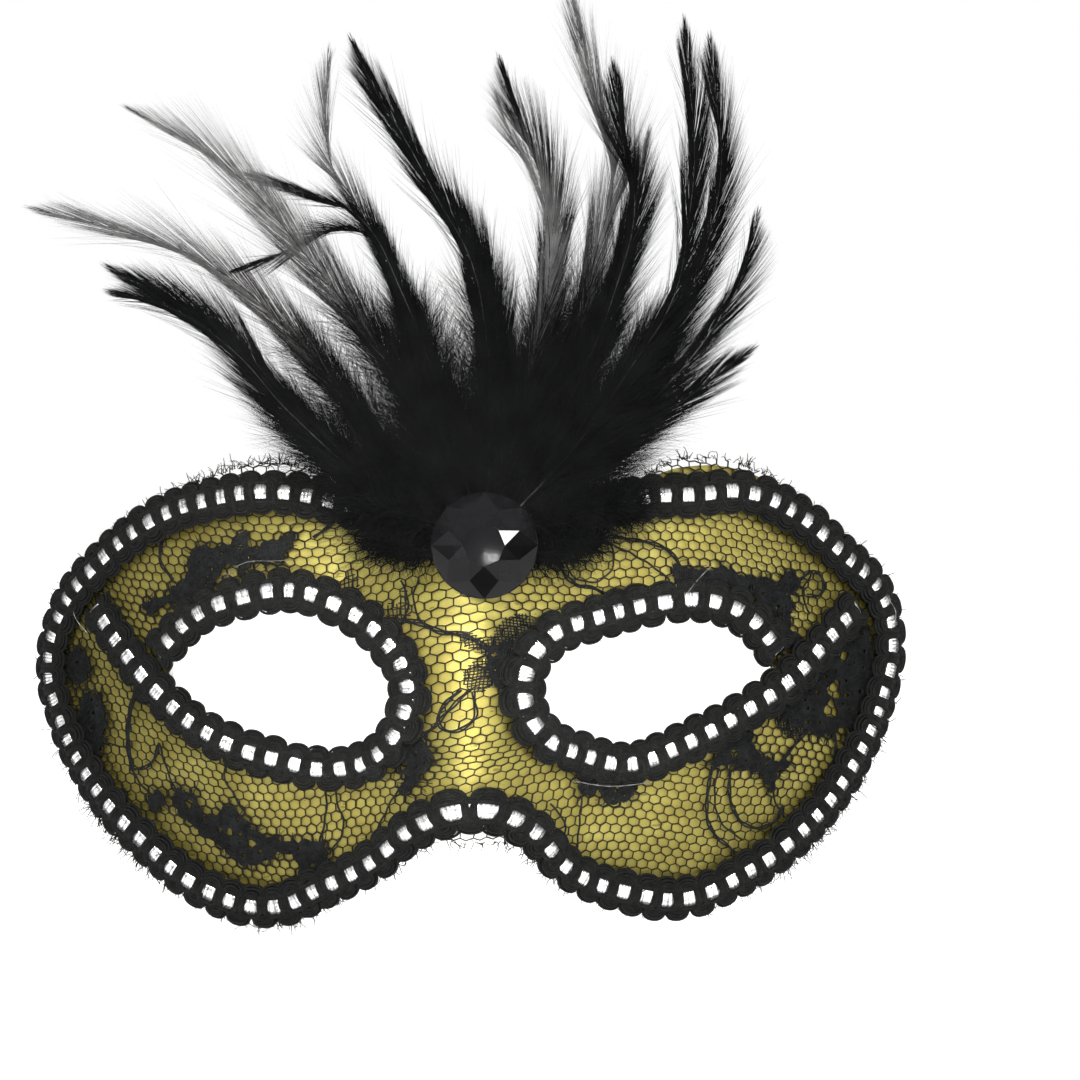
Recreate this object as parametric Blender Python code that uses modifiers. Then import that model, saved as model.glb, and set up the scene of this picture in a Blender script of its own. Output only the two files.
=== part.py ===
"""A masquerade half mask: a moulded shell covered in satin and lace, trimmed with gimp braid, with a fan of hackle
feathers behind a round faceted gem. Metres, +Z up. The face looks along -Y, and the origin lies on the inner surface
of the shell at the bridge of the nose.

Every fitted piece is drawn flat, as its pattern, with u across the face, v up it and its height in Z. Then it is
bent round the form of the face, so that the braid and the cloth keep their true widths."""

import math

import bmesh
import bpy
from mathutils import Vector

MM = 0.001
WELD = 0.001 * MM

# The form of the face
WRAP_RADIUS = 160 * MM
TEMPLE_TURN = 10 * MM
HALF_FACE = 86 * MM
RISE_RADIUS = 180 * MM
RIDGE_HEIGHT = 6.75 * MM
RIDGE_GAIN = 2.25 * MM
RIDGE_FADE = 15 * MM
RIDGE_WIDTH = 13 * MM
WRAP_STEPS = 24

# Heights of the layers in front of the shell's inner surface
SHELL = (0.0, 1.0 * MM)
SATIN = (1.4 * MM, 1.7 * MM)
LACE = (2.1 * MM, 2.4 * MM)
BRAID = (2.9 * MM, 4.7 * MM)
TAPE = (4.1 * MM, 4.5 * MM)
PAD = (2.9 * MM, 4.1 * MM)
EDGE_PAST_BRAID_LINE = 3.0 * MM
CUTTER_REACH = 20 * MM

# Straight pieces between neighbouring points of a curve, and corners of the pad's outline
CURVE_STEPS = 3
PAD_CORNERS = 8

# The braid's section
BRAID_WIDTH = 8.0 * MM
GROOVE_WIDTH = 3.2 * MM
GROOVE_FLOOR = 3.8 * MM
TAPE_WIDTH = 2.5 * MM

# The grid that the layers bend on
GRID_HALF_WIDTH = 96 * MM
GRID_LOW, GRID_HIGH = -49 * MM, 44 * MM
NOSE_CELL, CHEEK_CELL, ROW_CELL = 4 * MM, 9 * MM, 9.3 * MM
NOSE_HALF_WIDTH = 20 * MM

# The gem and the plume
GEM_CENTRE = (2.8 * MM, 27 * MM)
GEM_BACK = -6.7 * MM
GEM_RADIUS = 10 * MM
GEM_TABLE_RADIUS = 6.2 * MM
GEM_GIRDLE = 1.2 * MM
GEM_HEIGHT = 6 * MM
GEM_SIDES = 16
PAD_RADIUS = 9 * MM
PLUME_BACK = -0.4 * MM
SLAB_PITCH = 1.1 * MM
PLUME_SLABS = 6
PLUME_REACH = 110 * MM
PLUME_SPREAD = 12 * MM
PLUME_CURVE = 1.5
ROOT_RADIUS = 7 * MM
FEATHER_THICKNESS = 0.6 * MM
QUILL_SHARE = 0.16
VANE_SKEW = 0.9

# The strap patches
PATCH_SIZE = (10 * MM, 0.6 * MM, 14 * MM)
PATCH_PLACE = (73 * MM, 3 * MM)
PATCH_GAP = 0.5 * MM

# The line that the outer braid follows, from the plume's left round to its right, in millimetres of the pattern
OUTER_LINE = (
    (-9, 30.5), (-21.5, 33.5), (-37.5, 36.5), (-51, 35), (-63.5, 31), (-76.5, 22.5), (-85.5, 14), (-89.5, 3),
    (-86.5, -6.5), (-80.5, -16), (-67, -29), (-48.5, -40.5), (-38, -42), (-28, -38), (-17, -32.5), (-7.5, -25.5),
    (1, -22.5), (9, -26), (17, -34), (29.5, -39), (40.5, -40.5), (51, -37), (65, -28.5), (77.5, -15.5),
    (85, -2.5), (87.5, 8), (84.5, 17), (74.5, 25), (64, 32.5), (53.5, 36.5), (42, 36), (33, 35.5), (15, 31.5),
)
# The brow's dip behind the plume, which closes the outline
BROW_DIP = (3, 28)

# Each eye's braid starts at the temple, crosses to the lower lid and ends at the outer corner
LEFT_EYE_LINE = (
    (-77, 15), (-70.5, 7.5), (-61.5, -1.5), (-50, -9.5), (-36, -14), (-26, -15.5), (-16, -12.5), (-10.5, -4.5),
    (-10.5, 1.5), (-15.5, 9), (-25.5, 15.5), (-34.5, 18), (-44, 16.5), (-52.5, 13.5), (-62, 5.5),
)
RIGHT_EYE_LINE = (
    (78.5, 15), (71.5, 9), (62.5, 1), (51.5, -5.5), (39, -11.5), (30, -14.5), (20, -12.5), (11.5, -8.5),
    (8.5, -0.5), (13, 8.5), (24, 13), (35.5, 15.5), (44.5, 16), (53, 13), (60, 5.5),
)
EYE_LOOP_START = 2

# Routes of the feathers from beside the gem to their tips, in millimetres, with slab (0 is the backmost) and width
FEATHERS = (
    (0, 7, ((-9, 37), (-23, 54), (-49, 80), (-66, 87), (-85, 92))),
    (1, 6, ((-15, 37), (-32, 51), (-56, 73), (-69, 80))),
    (2, 6, ((-15, 36), (-34, 52), (-57, 71), (-68, 75))),
    (3, 8, ((-4, 39), (-11, 54), (-32, 83), (-53, 103), (-64, 109))),
    (0, 4, ((-7, 54), (-13, 73), (-27, 98), (-29, 123))),
    (1, 4, ((-9, 60), (-17, 84), (-34, 83), (-45, 79))),
    (2, 4, ((-6, 56), (-13, 75), (-26, 92), (-42, 97))),
    (3, 7, ((4, 51), (3, 67), (-6, 92), (-22, 121))),
    (1, 5, ((6, 64), (4, 75), (-4, 94))),
    (0, 7, ((8, 41), (15, 73), (14, 98), (5, 121))),
    (4, 4, ((11, 58), (15, 81), (13, 94), (5, 111))),
    (2, 7, ((13, 51), (24, 83), (25, 107), (19, 134))),
    (3, 6, ((17, 51), (28, 77), (31, 92), (27, 117))),
    (1, 7, ((17, 54), (24, 69), (32, 96), (34, 106))),
    (4, 9, ((21, 47), (38, 73), (42, 101), (40, 124))),
    (0, 9, ((32, 58), (41, 73), (48, 101), (47, 126))),
    (3, 7, ((32, 52), (43, 64), (54, 89))),
    (2, 7, ((24, 43), (36, 51), (53, 64))),
)
DOWN_FEATHERS = (
    (5, 9, ((-10, 31), (-23, 36))),
    (4, 7, ((-10, 26), (-19, 27))),
    (5, 9, ((15, 30), (34, 34))),
    (4, 7, ((14, 25), (23, 24))),
)

GOLD = (0.62, 0.56, 0.16, 1)
BLACK = (0.02, 0.02, 0.022, 1)
WHITE = (0.8, 0.8, 0.78, 1)
SILVER = (0.85, 0.85, 0.86, 1)
CHARCOAL = (0.05, 0.05, 0.055, 1)


def clear_scene():
    for old in list(bpy.data.objects):
        bpy.data.objects.remove(old, do_unlink=True)


def new_collection(name):
    collection = bpy.data.collections.new(name)
    bpy.context.scene.collection.children.link(collection)
    return collection


def material(name, colour, roughness, metallic=0.0):
    made = bpy.data.materials.new(name)
    made.use_nodes = True
    shader = made.node_tree.nodes["Principled BSDF"]
    shader.inputs["Base Color"].default_value = colour
    shader.inputs["Roughness"].default_value = roughness
    shader.inputs["Metallic"].default_value = metallic
    made.diffuse_color = colour
    return made


def add_part(name, mesh, finish):
    obj = bpy.data.objects.new(name, mesh)
    MASK.objects.link(obj)
    mesh.materials.clear()
    mesh.materials.append(finish)
    return obj


def add_helper(name, data):
    obj = bpy.data.objects.new(name, data)
    CUTTERS.objects.link(obj)
    obj.hide_render = True
    obj.display_type = "WIRE"
    return obj


def wrap_slope(x):
    """How steeply the face turns back at x, from its middle to the temples."""
    return x / WRAP_RADIUS + 4 * TEMPLE_TURN * x**3 / HALF_FACE**4


def form(x, z):
    """How far back the shell's inner surface lies at (x, z)."""
    wrap = x * x / (2 * WRAP_RADIUS) + TEMPLE_TURN * (x / HALF_FACE) ** 4
    rise = z * z / (2 * RISE_RADIUS)
    ridge = RIDGE_HEIGHT - RIDGE_GAIN * math.tanh(z / RIDGE_FADE)
    return wrap + rise + RIDGE_HEIGHT - ridge * math.exp(-((x / RIDGE_WIDTH) ** 2))


def across(u):
    """The x reached by going u along the wrap from the middle of the face."""
    x = 0.0
    step = u / WRAP_STEPS
    for _ in range(WRAP_STEPS):
        middle = x + step / 2 / math.hypot(1, wrap_slope(x))
        x += step / math.hypot(1, wrap_slope(middle))
    return x


def on_face(u, v, height):
    """The point at this height in front of the shell's inner surface, over the pattern's point (u, v)."""
    x = across(u)
    slope_x = (form(x + MM, v) - form(x - MM, v)) / (2 * MM)
    slope_z = (form(x, v + MM) - form(x, v - MM)) / (2 * MM)
    outward = Vector((slope_x, -1, slope_z)).normalized()
    return Vector((x, form(x, v), v)) + height * outward


def drape(mesh):
    """Bends a flat piece round the form of the face."""
    for vertex in mesh.vertices:
        vertex.co = on_face(*vertex.co)


def fan_out(mesh, slab):
    """Stands a flat feather up in its slab of the plume, which leans forward or back as it leaves the gem."""
    lean = PLUME_SPREAD * (1 - 2 * slab / (PLUME_SLABS - 1))
    for vertex in mesh.vertices:
        x, z, height = vertex.co
        away = math.hypot(x - GEM_CENTRE[0], z - GEM_CENTRE[1])
        depth = PLUME_BACK - slab * SLAB_PITCH + lean * (away / PLUME_REACH) ** PLUME_CURVE
        vertex.co = (x, depth - math.copysign(min(abs(height), FEATHER_THICKNESS / 2), height), z)


def flat_curve(name, points, closed):
    """A smooth flat curve through the points."""
    curve = bpy.data.curves.new(name, "CURVE")
    curve.dimensions = "2D"
    curve.fill_mode = "NONE"
    curve.resolution_u = CURVE_STEPS
    spline = curve.splines.new("BEZIER")
    spline.bezier_points.add(len(points) - 1)
    for knot, point in zip(spline.bezier_points, points):
        knot.co = (*point, 0)
        knot.handle_left_type = "AUTO"
        knot.handle_right_type = "AUTO"
    spline.use_cyclic_u = closed
    return curve


def as_mesh(obj):
    """The evaluated mesh of the object, with the loose caps of a curve welded to its sides."""
    bpy.context.view_layer.update()
    mesh = bpy.data.meshes.new_from_object(obj.evaluated_get(bpy.context.evaluated_depsgraph_get()))
    work = bmesh.new()
    work.from_mesh(mesh)
    bmesh.ops.remove_doubles(work, verts=work.verts, dist=WELD)
    bmesh.ops.triangulate(work, faces=work.faces)
    bmesh.ops.recalc_face_normals(work, faces=work.faces)
    work.to_mesh(mesh)
    work.free()
    return mesh


def moved_out(points, distance):
    """The closed outline's points, each moved along the outline's outward normal."""
    points = [Vector(point) for point in points]
    area = sum(a.cross(b) for a, b in zip(points, points[1:] + points[:1])) / 2
    side = math.copysign(1, area)
    moved = []
    for i, point in enumerate(points):
        along = (points[(i + 1) % len(points)] - points[i - 1]).normalized()
        moved.append(point + side * distance * Vector((along.y, -along.x)))
    return moved


def prism(name, outline):
    """A cutter with this flat outline, tall enough to pass through every layer."""
    curve = flat_curve(name, outline, True)
    curve.fill_mode = "BOTH"
    curve.extrude = CUTTER_REACH
    source = add_helper(name + "_outline", curve)
    cutter = add_helper(name, as_mesh(source))
    bpy.data.objects.remove(source)
    return cutter


def grid_lines(half_width):
    """Column positions: close together over the nose, wider over the cheeks."""
    nose_steps = round(NOSE_HALF_WIDTH / NOSE_CELL)
    cheek_steps = round((half_width - NOSE_HALF_WIDTH) / CHEEK_CELL)
    near = [NOSE_HALF_WIDTH * i / nose_steps for i in range(nose_steps + 1)]
    far = [NOSE_HALF_WIDTH + (half_width - NOSE_HALF_WIDTH) * i / cheek_steps for i in range(1, cheek_steps + 1)]
    right = near + far
    return [-x for x in right[:0:-1]] + right


def fitted_layer(name, heights, outline, holes, finish):
    """A thin layer that covers the outline less the holes, bent over the form."""
    columns = grid_lines(GRID_HALF_WIDTH)
    rows = round((GRID_HIGH - GRID_LOW) / ROW_CELL)
    work = bmesh.new()
    bmesh.ops.create_grid(work, x_segments=len(columns) - 1, y_segments=rows, size=0.5)
    for vertex in work.verts:
        column = round((vertex.co.x + 0.5) * (len(columns) - 1))
        vertex.co = (columns[column], GRID_LOW + (vertex.co.y + 0.5) * (GRID_HIGH - GRID_LOW), heights[0])
    sheet = bpy.data.meshes.new(name + "_sheet")
    work.to_mesh(sheet)
    work.free()
    blank = add_helper(name + "_blank", sheet)
    thickness = blank.modifiers.new("thickness", "SOLIDIFY")
    thickness.thickness = heights[1] - heights[0]
    thickness.offset = 1
    trim = blank.modifiers.new("trim", "BOOLEAN")
    trim.operation = "INTERSECT"
    trim.object = outline
    for hole in holes:
        cut = blank.modifiers.new("cut", "BOOLEAN")
        cut.operation = "DIFFERENCE"
        cut.object = hole
    mesh = as_mesh(blank)
    bpy.data.objects.remove(blank)
    drape(mesh)
    return add_part(name, mesh, finish)


def flat_band(name, points, section, widths=None):
    """A flat band along the line, of the given section (sideways, height)."""
    profile = bpy.data.curves.new(name + "_section", "CURVE")
    profile.dimensions = "2D"
    spline = profile.splines.new("POLY")
    spline.points.add(len(section) - 1)
    for corner, (sideways, height) in zip(spline.points, section):
        corner.co = (sideways, height, 0, 1)
    spline.use_cyclic_u = True
    shape = add_helper(name + "_section", profile)
    curve = flat_curve(name, points, False)
    curve.bevel_mode = "OBJECT"
    curve.bevel_object = shape
    curve.use_fill_caps = True
    if widths:
        for knot, width in zip(curve.splines[0].bezier_points, widths):
            knot.radius = width
    line = add_helper(name + "_line", curve)
    mesh = as_mesh(line)
    bpy.data.objects.remove(line)
    bpy.data.objects.remove(shape)
    return mesh


def braid_section():
    """The braid's section: a band with a groove along its front for the silver tape."""
    back, front = BRAID
    edge, groove = BRAID_WIDTH / 2, GROOVE_WIDTH / 2
    return (
        (-edge, back), (edge, back), (edge, front), (groove, front),
        (groove, GROOVE_FLOOR), (-groove, GROOVE_FLOOR), (-groove, front), (-edge, front),
    )


def tape_section():
    back, front = TAPE
    edge = TAPE_WIDTH / 2
    return ((-edge, back), (edge, back), (edge, front), (-edge, front))


def braid(name, line):
    """A gimp braid and the silver tape in its groove, laid over the form."""
    band = flat_band(name + "_braid", line, braid_section())
    drape(band)
    add_part(name + "_braid", band, BLACK_YARN)
    tape = flat_band(name + "_tape", line, tape_section())
    drape(tape)
    add_part(name + "_silver_tape", tape, SILVER_FOIL)


def feather(name, slab, width, route, finish):
    """One feather: a slim vane that starts under the gem's edge and narrows to its tip."""
    first = Vector(route[0])
    centre = Vector(GEM_CENTRE)
    root = centre + (first - centre).normalized() * ROOT_RADIUS
    points = [root, *(Vector(point) for point in route)]
    last = len(points) - 1
    widths = [max(QUILL_SHARE, math.sin(math.pi * (i / last) ** VANE_SKEW)) for i in range(last + 1)]
    half, rise = width / 2, FEATHER_THICKNESS
    section = ((-half, 0), (-half / 2, -rise), (half / 2, -rise), (half, 0), (half / 2, rise), (-half / 2, rise))
    mesh = flat_band(name, points, section, widths)
    fan_out(mesh, slab)
    add_part(name, mesh, finish)


def gem():
    """The flat-backed gem: a turned girdle and crown, with a flat side for each of its facets."""
    profile = bpy.data.meshes.new("gem_profile")
    work = bmesh.new()
    corners = (
        (0, GEM_HEIGHT), (GEM_TABLE_RADIUS, GEM_HEIGHT), (GEM_RADIUS, GEM_GIRDLE), (GEM_RADIUS, 0), (0, 0),
    )
    verts = [work.verts.new((radius, 0, height)) for radius, height in corners]
    for start, end in zip(verts, verts[1:]):
        work.edges.new((start, end))
    work.to_mesh(profile)
    work.free()
    obj = add_part("gem", profile, JET)
    turn = obj.modifiers.new("turn", "SCREW")
    turn.steps = GEM_SIDES
    turn.render_steps = GEM_SIDES
    turn.use_merge_vertices = True
    turn.merge_threshold = WELD
    obj.location = (GEM_CENTRE[0], GEM_BACK, GEM_CENTRE[1])
    obj.rotation_euler = (math.radians(90), 0, 0)


def plume_pad():
    """A small felt disc on the brow, which the quills are glued to."""
    centre = Vector(GEM_CENTRE)
    turns = [math.tau * i / PAD_CORNERS for i in range(PAD_CORNERS)]
    corners = [centre + PAD_RADIUS * Vector((math.cos(turn), math.sin(turn))) for turn in turns]
    fitted_layer("plume_pad", PAD, prism("pad_disc", corners), (), FELT)


def strap_patch(name, side):
    """A flat patch inside the temple, tangent to the shell and just off it."""
    x, z = side * PATCH_PLACE[0], PATCH_PLACE[1]
    slope = math.atan((form(x + MM, z) - form(x - MM, z)) / (2 * MM))
    inward = Vector((-math.sin(slope), math.cos(slope), 0))
    work = bmesh.new()
    bmesh.ops.create_cube(work, size=1)
    bmesh.ops.scale(work, vec=PATCH_SIZE, verts=work.verts)
    mesh = bpy.data.meshes.new(name)
    work.to_mesh(mesh)
    work.free()
    obj = add_part(name, mesh, PATCH_CLOTH)
    obj.location = Vector((x, form(x, z), z)) + inward * (PATCH_GAP + PATCH_SIZE[1] / 2)
    obj.rotation_euler = (0, 0, slope)


clear_scene()
MASK = new_collection("masquerade_mask")
CUTTERS = new_collection("cutters")
MOULDED_PLASTIC = material("moulded_plastic", WHITE, 0.4)
GOLD_SATIN = material("gold_satin", GOLD, 0.3)
BLACK_LACE = material("black_lace", BLACK, 0.8)
BLACK_YARN = material("black_yarn", BLACK, 0.9)
SILVER_FOIL = material("silver_foil", SILVER, 0.2, 1.0)
JET = material("jet_acrylic", BLACK, 0.05)
FELT = material("black_felt", BLACK, 0.95)
PLUMAGE = material("black_plumage", CHARCOAL, 0.6)
PATCH_CLOTH = material("patch_cloth", CHARCOAL, 0.9)

edge_line = [Vector(point) * MM for point in OUTER_LINE + (BROW_DIP,)]
left_line = [Vector(point) * MM for point in LEFT_EYE_LINE]
right_line = [Vector(point) * MM for point in RIGHT_EYE_LINE]
face_outline = prism("face_outline", moved_out(edge_line, EDGE_PAST_BRAID_LINE))
eye_holes = [
    prism(name, moved_out(line[EYE_LOOP_START:], -EDGE_PAST_BRAID_LINE))
    for name, line in (("left_eye_hole", left_line), ("right_eye_hole", right_line))
]
fitted_layer("base_shell", SHELL, face_outline, eye_holes, MOULDED_PLASTIC)
fitted_layer("satin_cover", SATIN, face_outline, eye_holes, GOLD_SATIN)
fitted_layer("lace_overlay", LACE, face_outline, eye_holes, BLACK_LACE)
braid("outer", edge_line[:-1])
braid("left_eye", left_line)
braid("right_eye", right_line)
plume_pad()
for number, (slab, width, route) in enumerate(FEATHERS, 1):
    feather(f"feather_{number:02d}", slab, width * MM, [Vector(p) * MM for p in route], PLUMAGE)
for number, (slab, width, route) in enumerate(DOWN_FEATHERS, 1):
    feather(f"down_feather_{number}", slab, width * MM, [Vector(p) * MM for p in route], PLUMAGE)
gem()
strap_patch("strap_patch_left", -1)
strap_patch("strap_patch_right", 1)
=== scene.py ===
import math

import bpy
import numpy as np
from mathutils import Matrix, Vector
from mathutils.geometry import delaunay_2d_cdt


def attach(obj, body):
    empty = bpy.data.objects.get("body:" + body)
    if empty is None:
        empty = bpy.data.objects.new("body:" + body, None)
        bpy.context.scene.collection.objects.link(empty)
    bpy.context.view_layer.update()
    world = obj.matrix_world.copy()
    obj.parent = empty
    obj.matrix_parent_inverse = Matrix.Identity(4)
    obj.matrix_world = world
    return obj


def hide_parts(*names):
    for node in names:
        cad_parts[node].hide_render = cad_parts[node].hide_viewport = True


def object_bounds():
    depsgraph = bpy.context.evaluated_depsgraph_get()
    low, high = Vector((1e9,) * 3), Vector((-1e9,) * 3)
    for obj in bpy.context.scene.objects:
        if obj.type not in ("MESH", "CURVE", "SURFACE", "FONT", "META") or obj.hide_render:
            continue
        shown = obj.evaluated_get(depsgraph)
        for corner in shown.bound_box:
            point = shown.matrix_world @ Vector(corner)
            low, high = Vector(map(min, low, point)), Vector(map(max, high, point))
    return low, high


# Looks of a masquerade half mask: satin and lace over a moulded shell, gimp braid with a silver core,
# a faceted gem and a fan of hackle feathers. The frame's axes hold: +Z up, the face looks along -Y.
#
# Lengths below are in millimetres. (u, v) is the flat pattern of the face, u along its wrap and v up it, and
# on_face bends a pattern point round the form of the face, as the frame's own layers are bent.

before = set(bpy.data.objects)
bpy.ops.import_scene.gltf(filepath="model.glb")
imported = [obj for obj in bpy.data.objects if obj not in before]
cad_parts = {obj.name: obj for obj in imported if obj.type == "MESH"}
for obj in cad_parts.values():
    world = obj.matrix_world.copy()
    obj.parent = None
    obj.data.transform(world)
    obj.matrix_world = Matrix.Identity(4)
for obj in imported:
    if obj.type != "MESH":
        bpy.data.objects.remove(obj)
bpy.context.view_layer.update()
MM = 0.001
SEED = 7

# The form of the face, as in the frame
WRAP_RADIUS, TEMPLE_TURN, HALF_FACE, RISE_RADIUS = 160.0, 10.0, 86.0, 180.0
RIDGE_HEIGHT, RIDGE_GAIN, RIDGE_FADE, RIDGE_WIDTH = 6.75, 2.25, 15.0, 13.0

# Heights of the layers in front of the shell's inner surface
SHELL_BACK, SHELL_FRONT = 0.0, 1.0
SATIN_HEIGHT = 1.55
NET_HEIGHT = 2.2
MOTIF_BACK, MOTIF_FRONT = 2.05, 2.6
TAPE_HEIGHT = 4.3
LOBE_HEIGHT = 3.4
EDGE_PAST_BRAID_LINE = 3.0
EYE_EDGE, SATIN_BACK_FROM_EYE = 2.3, 0.2

# Spacing of the points that a layer is made of
SHELL_GRID, SATIN_GRID, MOTIF_GRID, PAD_GRID = 2.2, 1.1, 0.6, 0.9
# Radii of the threads round and across a motif, of its stray ends and of the frayed edge
RIM_RADIUS, WOVEN_RADIUS, STRAY_RADIUS, FRAY_RADIUS = 0.18, 0.15, 0.12, 0.1
# Half widths of the finest fibres
FUZZ_HALF, BARB_HALF, FLUFF_HALF, DOWN_HALF = 0.045, 0.032, 0.036, 0.06
FRAY_COUNT, FEATHER_STEP = 2300, 0.5

# The net and the braid
NET_PITCH, NET_ROW, NET_RADIUS = 2.2, 1.6, 0.155
LONGEST_SIDE, HEAVIEST_THREAD = 2.9, 0.34
VINE_GAP, VINE_RADIUS = 0.34, 0.2
STRANDS, STRAND_RADIUS = 6, 0.29
BRAID_REACH, LOBE_HALF = 2.8, 1.33
TAPE_HALF, TAPE_SINK = 1.9, 0.1
LINE_STEP = 0.1
# What lies under the windings: shift across the braid, height, radius and flatness
GROUND_CORDS = ((0, 3.1, 2.9, 0.11), (-1.8, 4.2, 0.5, 1.0), (1.8, 4.2, 0.5, 1.0))
LOBE_FILL_SHIFT, LOBE_FILL_HEIGHT, LOBE_FILL_RADIUS = 2.8, 3.15, 1.42
TAPE_FOLD = 0.66
# Half of one winding of the braid's cord: shares of the pitch along the braid and of the reach across it. The
# other half mirrors this one.
WINDING = ((0, 1), (0.18, 0.94), (0.32, 0.70), (0.385, 0.38), (0.40, 0), (0.38, -0.38), (0.27, -0.65),
           (0.29, -0.88), (0.39, -0.98), (0.5, -1))

# The gem and the plume, as in the frame
GEM_CENTRE, GEM_BACK = (2.8, 27.0), -6.7
PLUME_BACK, SLAB_PITCH, PLUME_SLABS, PLUME_REACH, PLUME_SPREAD = -0.4, 1.1, 6, 110.0, 12.0
ROOT_RADIUS = 7.0
PATCH_X, PATCH_Z, PATCH_S, PATCH_T = 73.0, 3.0, 5, 7
STITCH_S, STITCH_T, STITCH_PITCH = 4.2, 6.2, 1.4
PAD_RADIUS, PAD_BACK, PAD_FRONT, PLUG_BACK = 9, 2.95, 4.05, 3.3
# The plug between the pad and the gem: radius and depth of each ring, from the pad forwards
PLUG_RINGS = ((8.6, 3.5), (8.9, 0.5), (8.2, -0.6), (7.4, -2.0), (7.1, -4.2), (7.7, -6.0), (7.5, -6.6))
# How far the gem's star facets drop and run, from the middle of the table's edge to the crown's middle ring
STAR_DROP, STAR_RUN = 1.9, 7.1 - 3.9 * math.cos(math.radians(22.5))

OUTER_LINE = (
    (-9, 30.5), (-21.5, 33.5), (-37.5, 36.5), (-51, 35), (-63.5, 31), (-76.5, 22.5), (-85.5, 14),
    (-89.5, 3), (-86.5, -6.5), (-80.5, -16), (-67, -29), (-48.5, -40.5), (-38, -42), (-28, -38),
    (-17, -32.5), (-7.5, -25.5), (1, -22.5), (9, -26), (17, -34), (29.5, -39), (40.5, -40.5), (51, -37),
    (65, -28.5), (77.5, -15.5), (85, -2.5), (87.5, 8), (84.5, 17), (74.5, 25), (64, 32.5), (53.5, 36.5),
    (42, 36), (33, 35.5), (15, 31.5),
)
BROW_DIP = (3, 28)
LEFT_EYE_LINE = (
    (-77, 15), (-70.5, 7.5), (-61.5, -1.5), (-50, -9.5), (-36, -14), (-26, -15.5), (-16, -12.5),
    (-10.5, -4.5), (-10.5, 1.5), (-15.5, 9), (-25.5, 15.5), (-34.5, 18), (-44, 16.5), (-52.5, 13.5),
    (-62, 5.5),
)
RIGHT_EYE_LINE = (
    (78.5, 15), (71.5, 9), (62.5, 1), (51.5, -5.5), (39, -11.5), (30, -14.5), (20, -12.5), (11.5, -8.5),
    (8.5, -0.5), (13, 8.5), (24, 13), (35.5, 15.5), (44.5, 16), (53, 13), (60, 5.5),
)
# Where an eye's closed loop leaves out the crossed ends of its braid
EYE_LOOP_START = 2
# Each braid: name, line, pitch of its windings and how far its tape stops short of its ends
BRAIDS = (
    ("outer", OUTER_LINE, 4.35, 9.0),
    ("left_eye", LEFT_EYE_LINE, 4.5, 0.8),
    ("right_eye", RIGHT_EYE_LINE, 4.5, 0.8),
)

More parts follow.
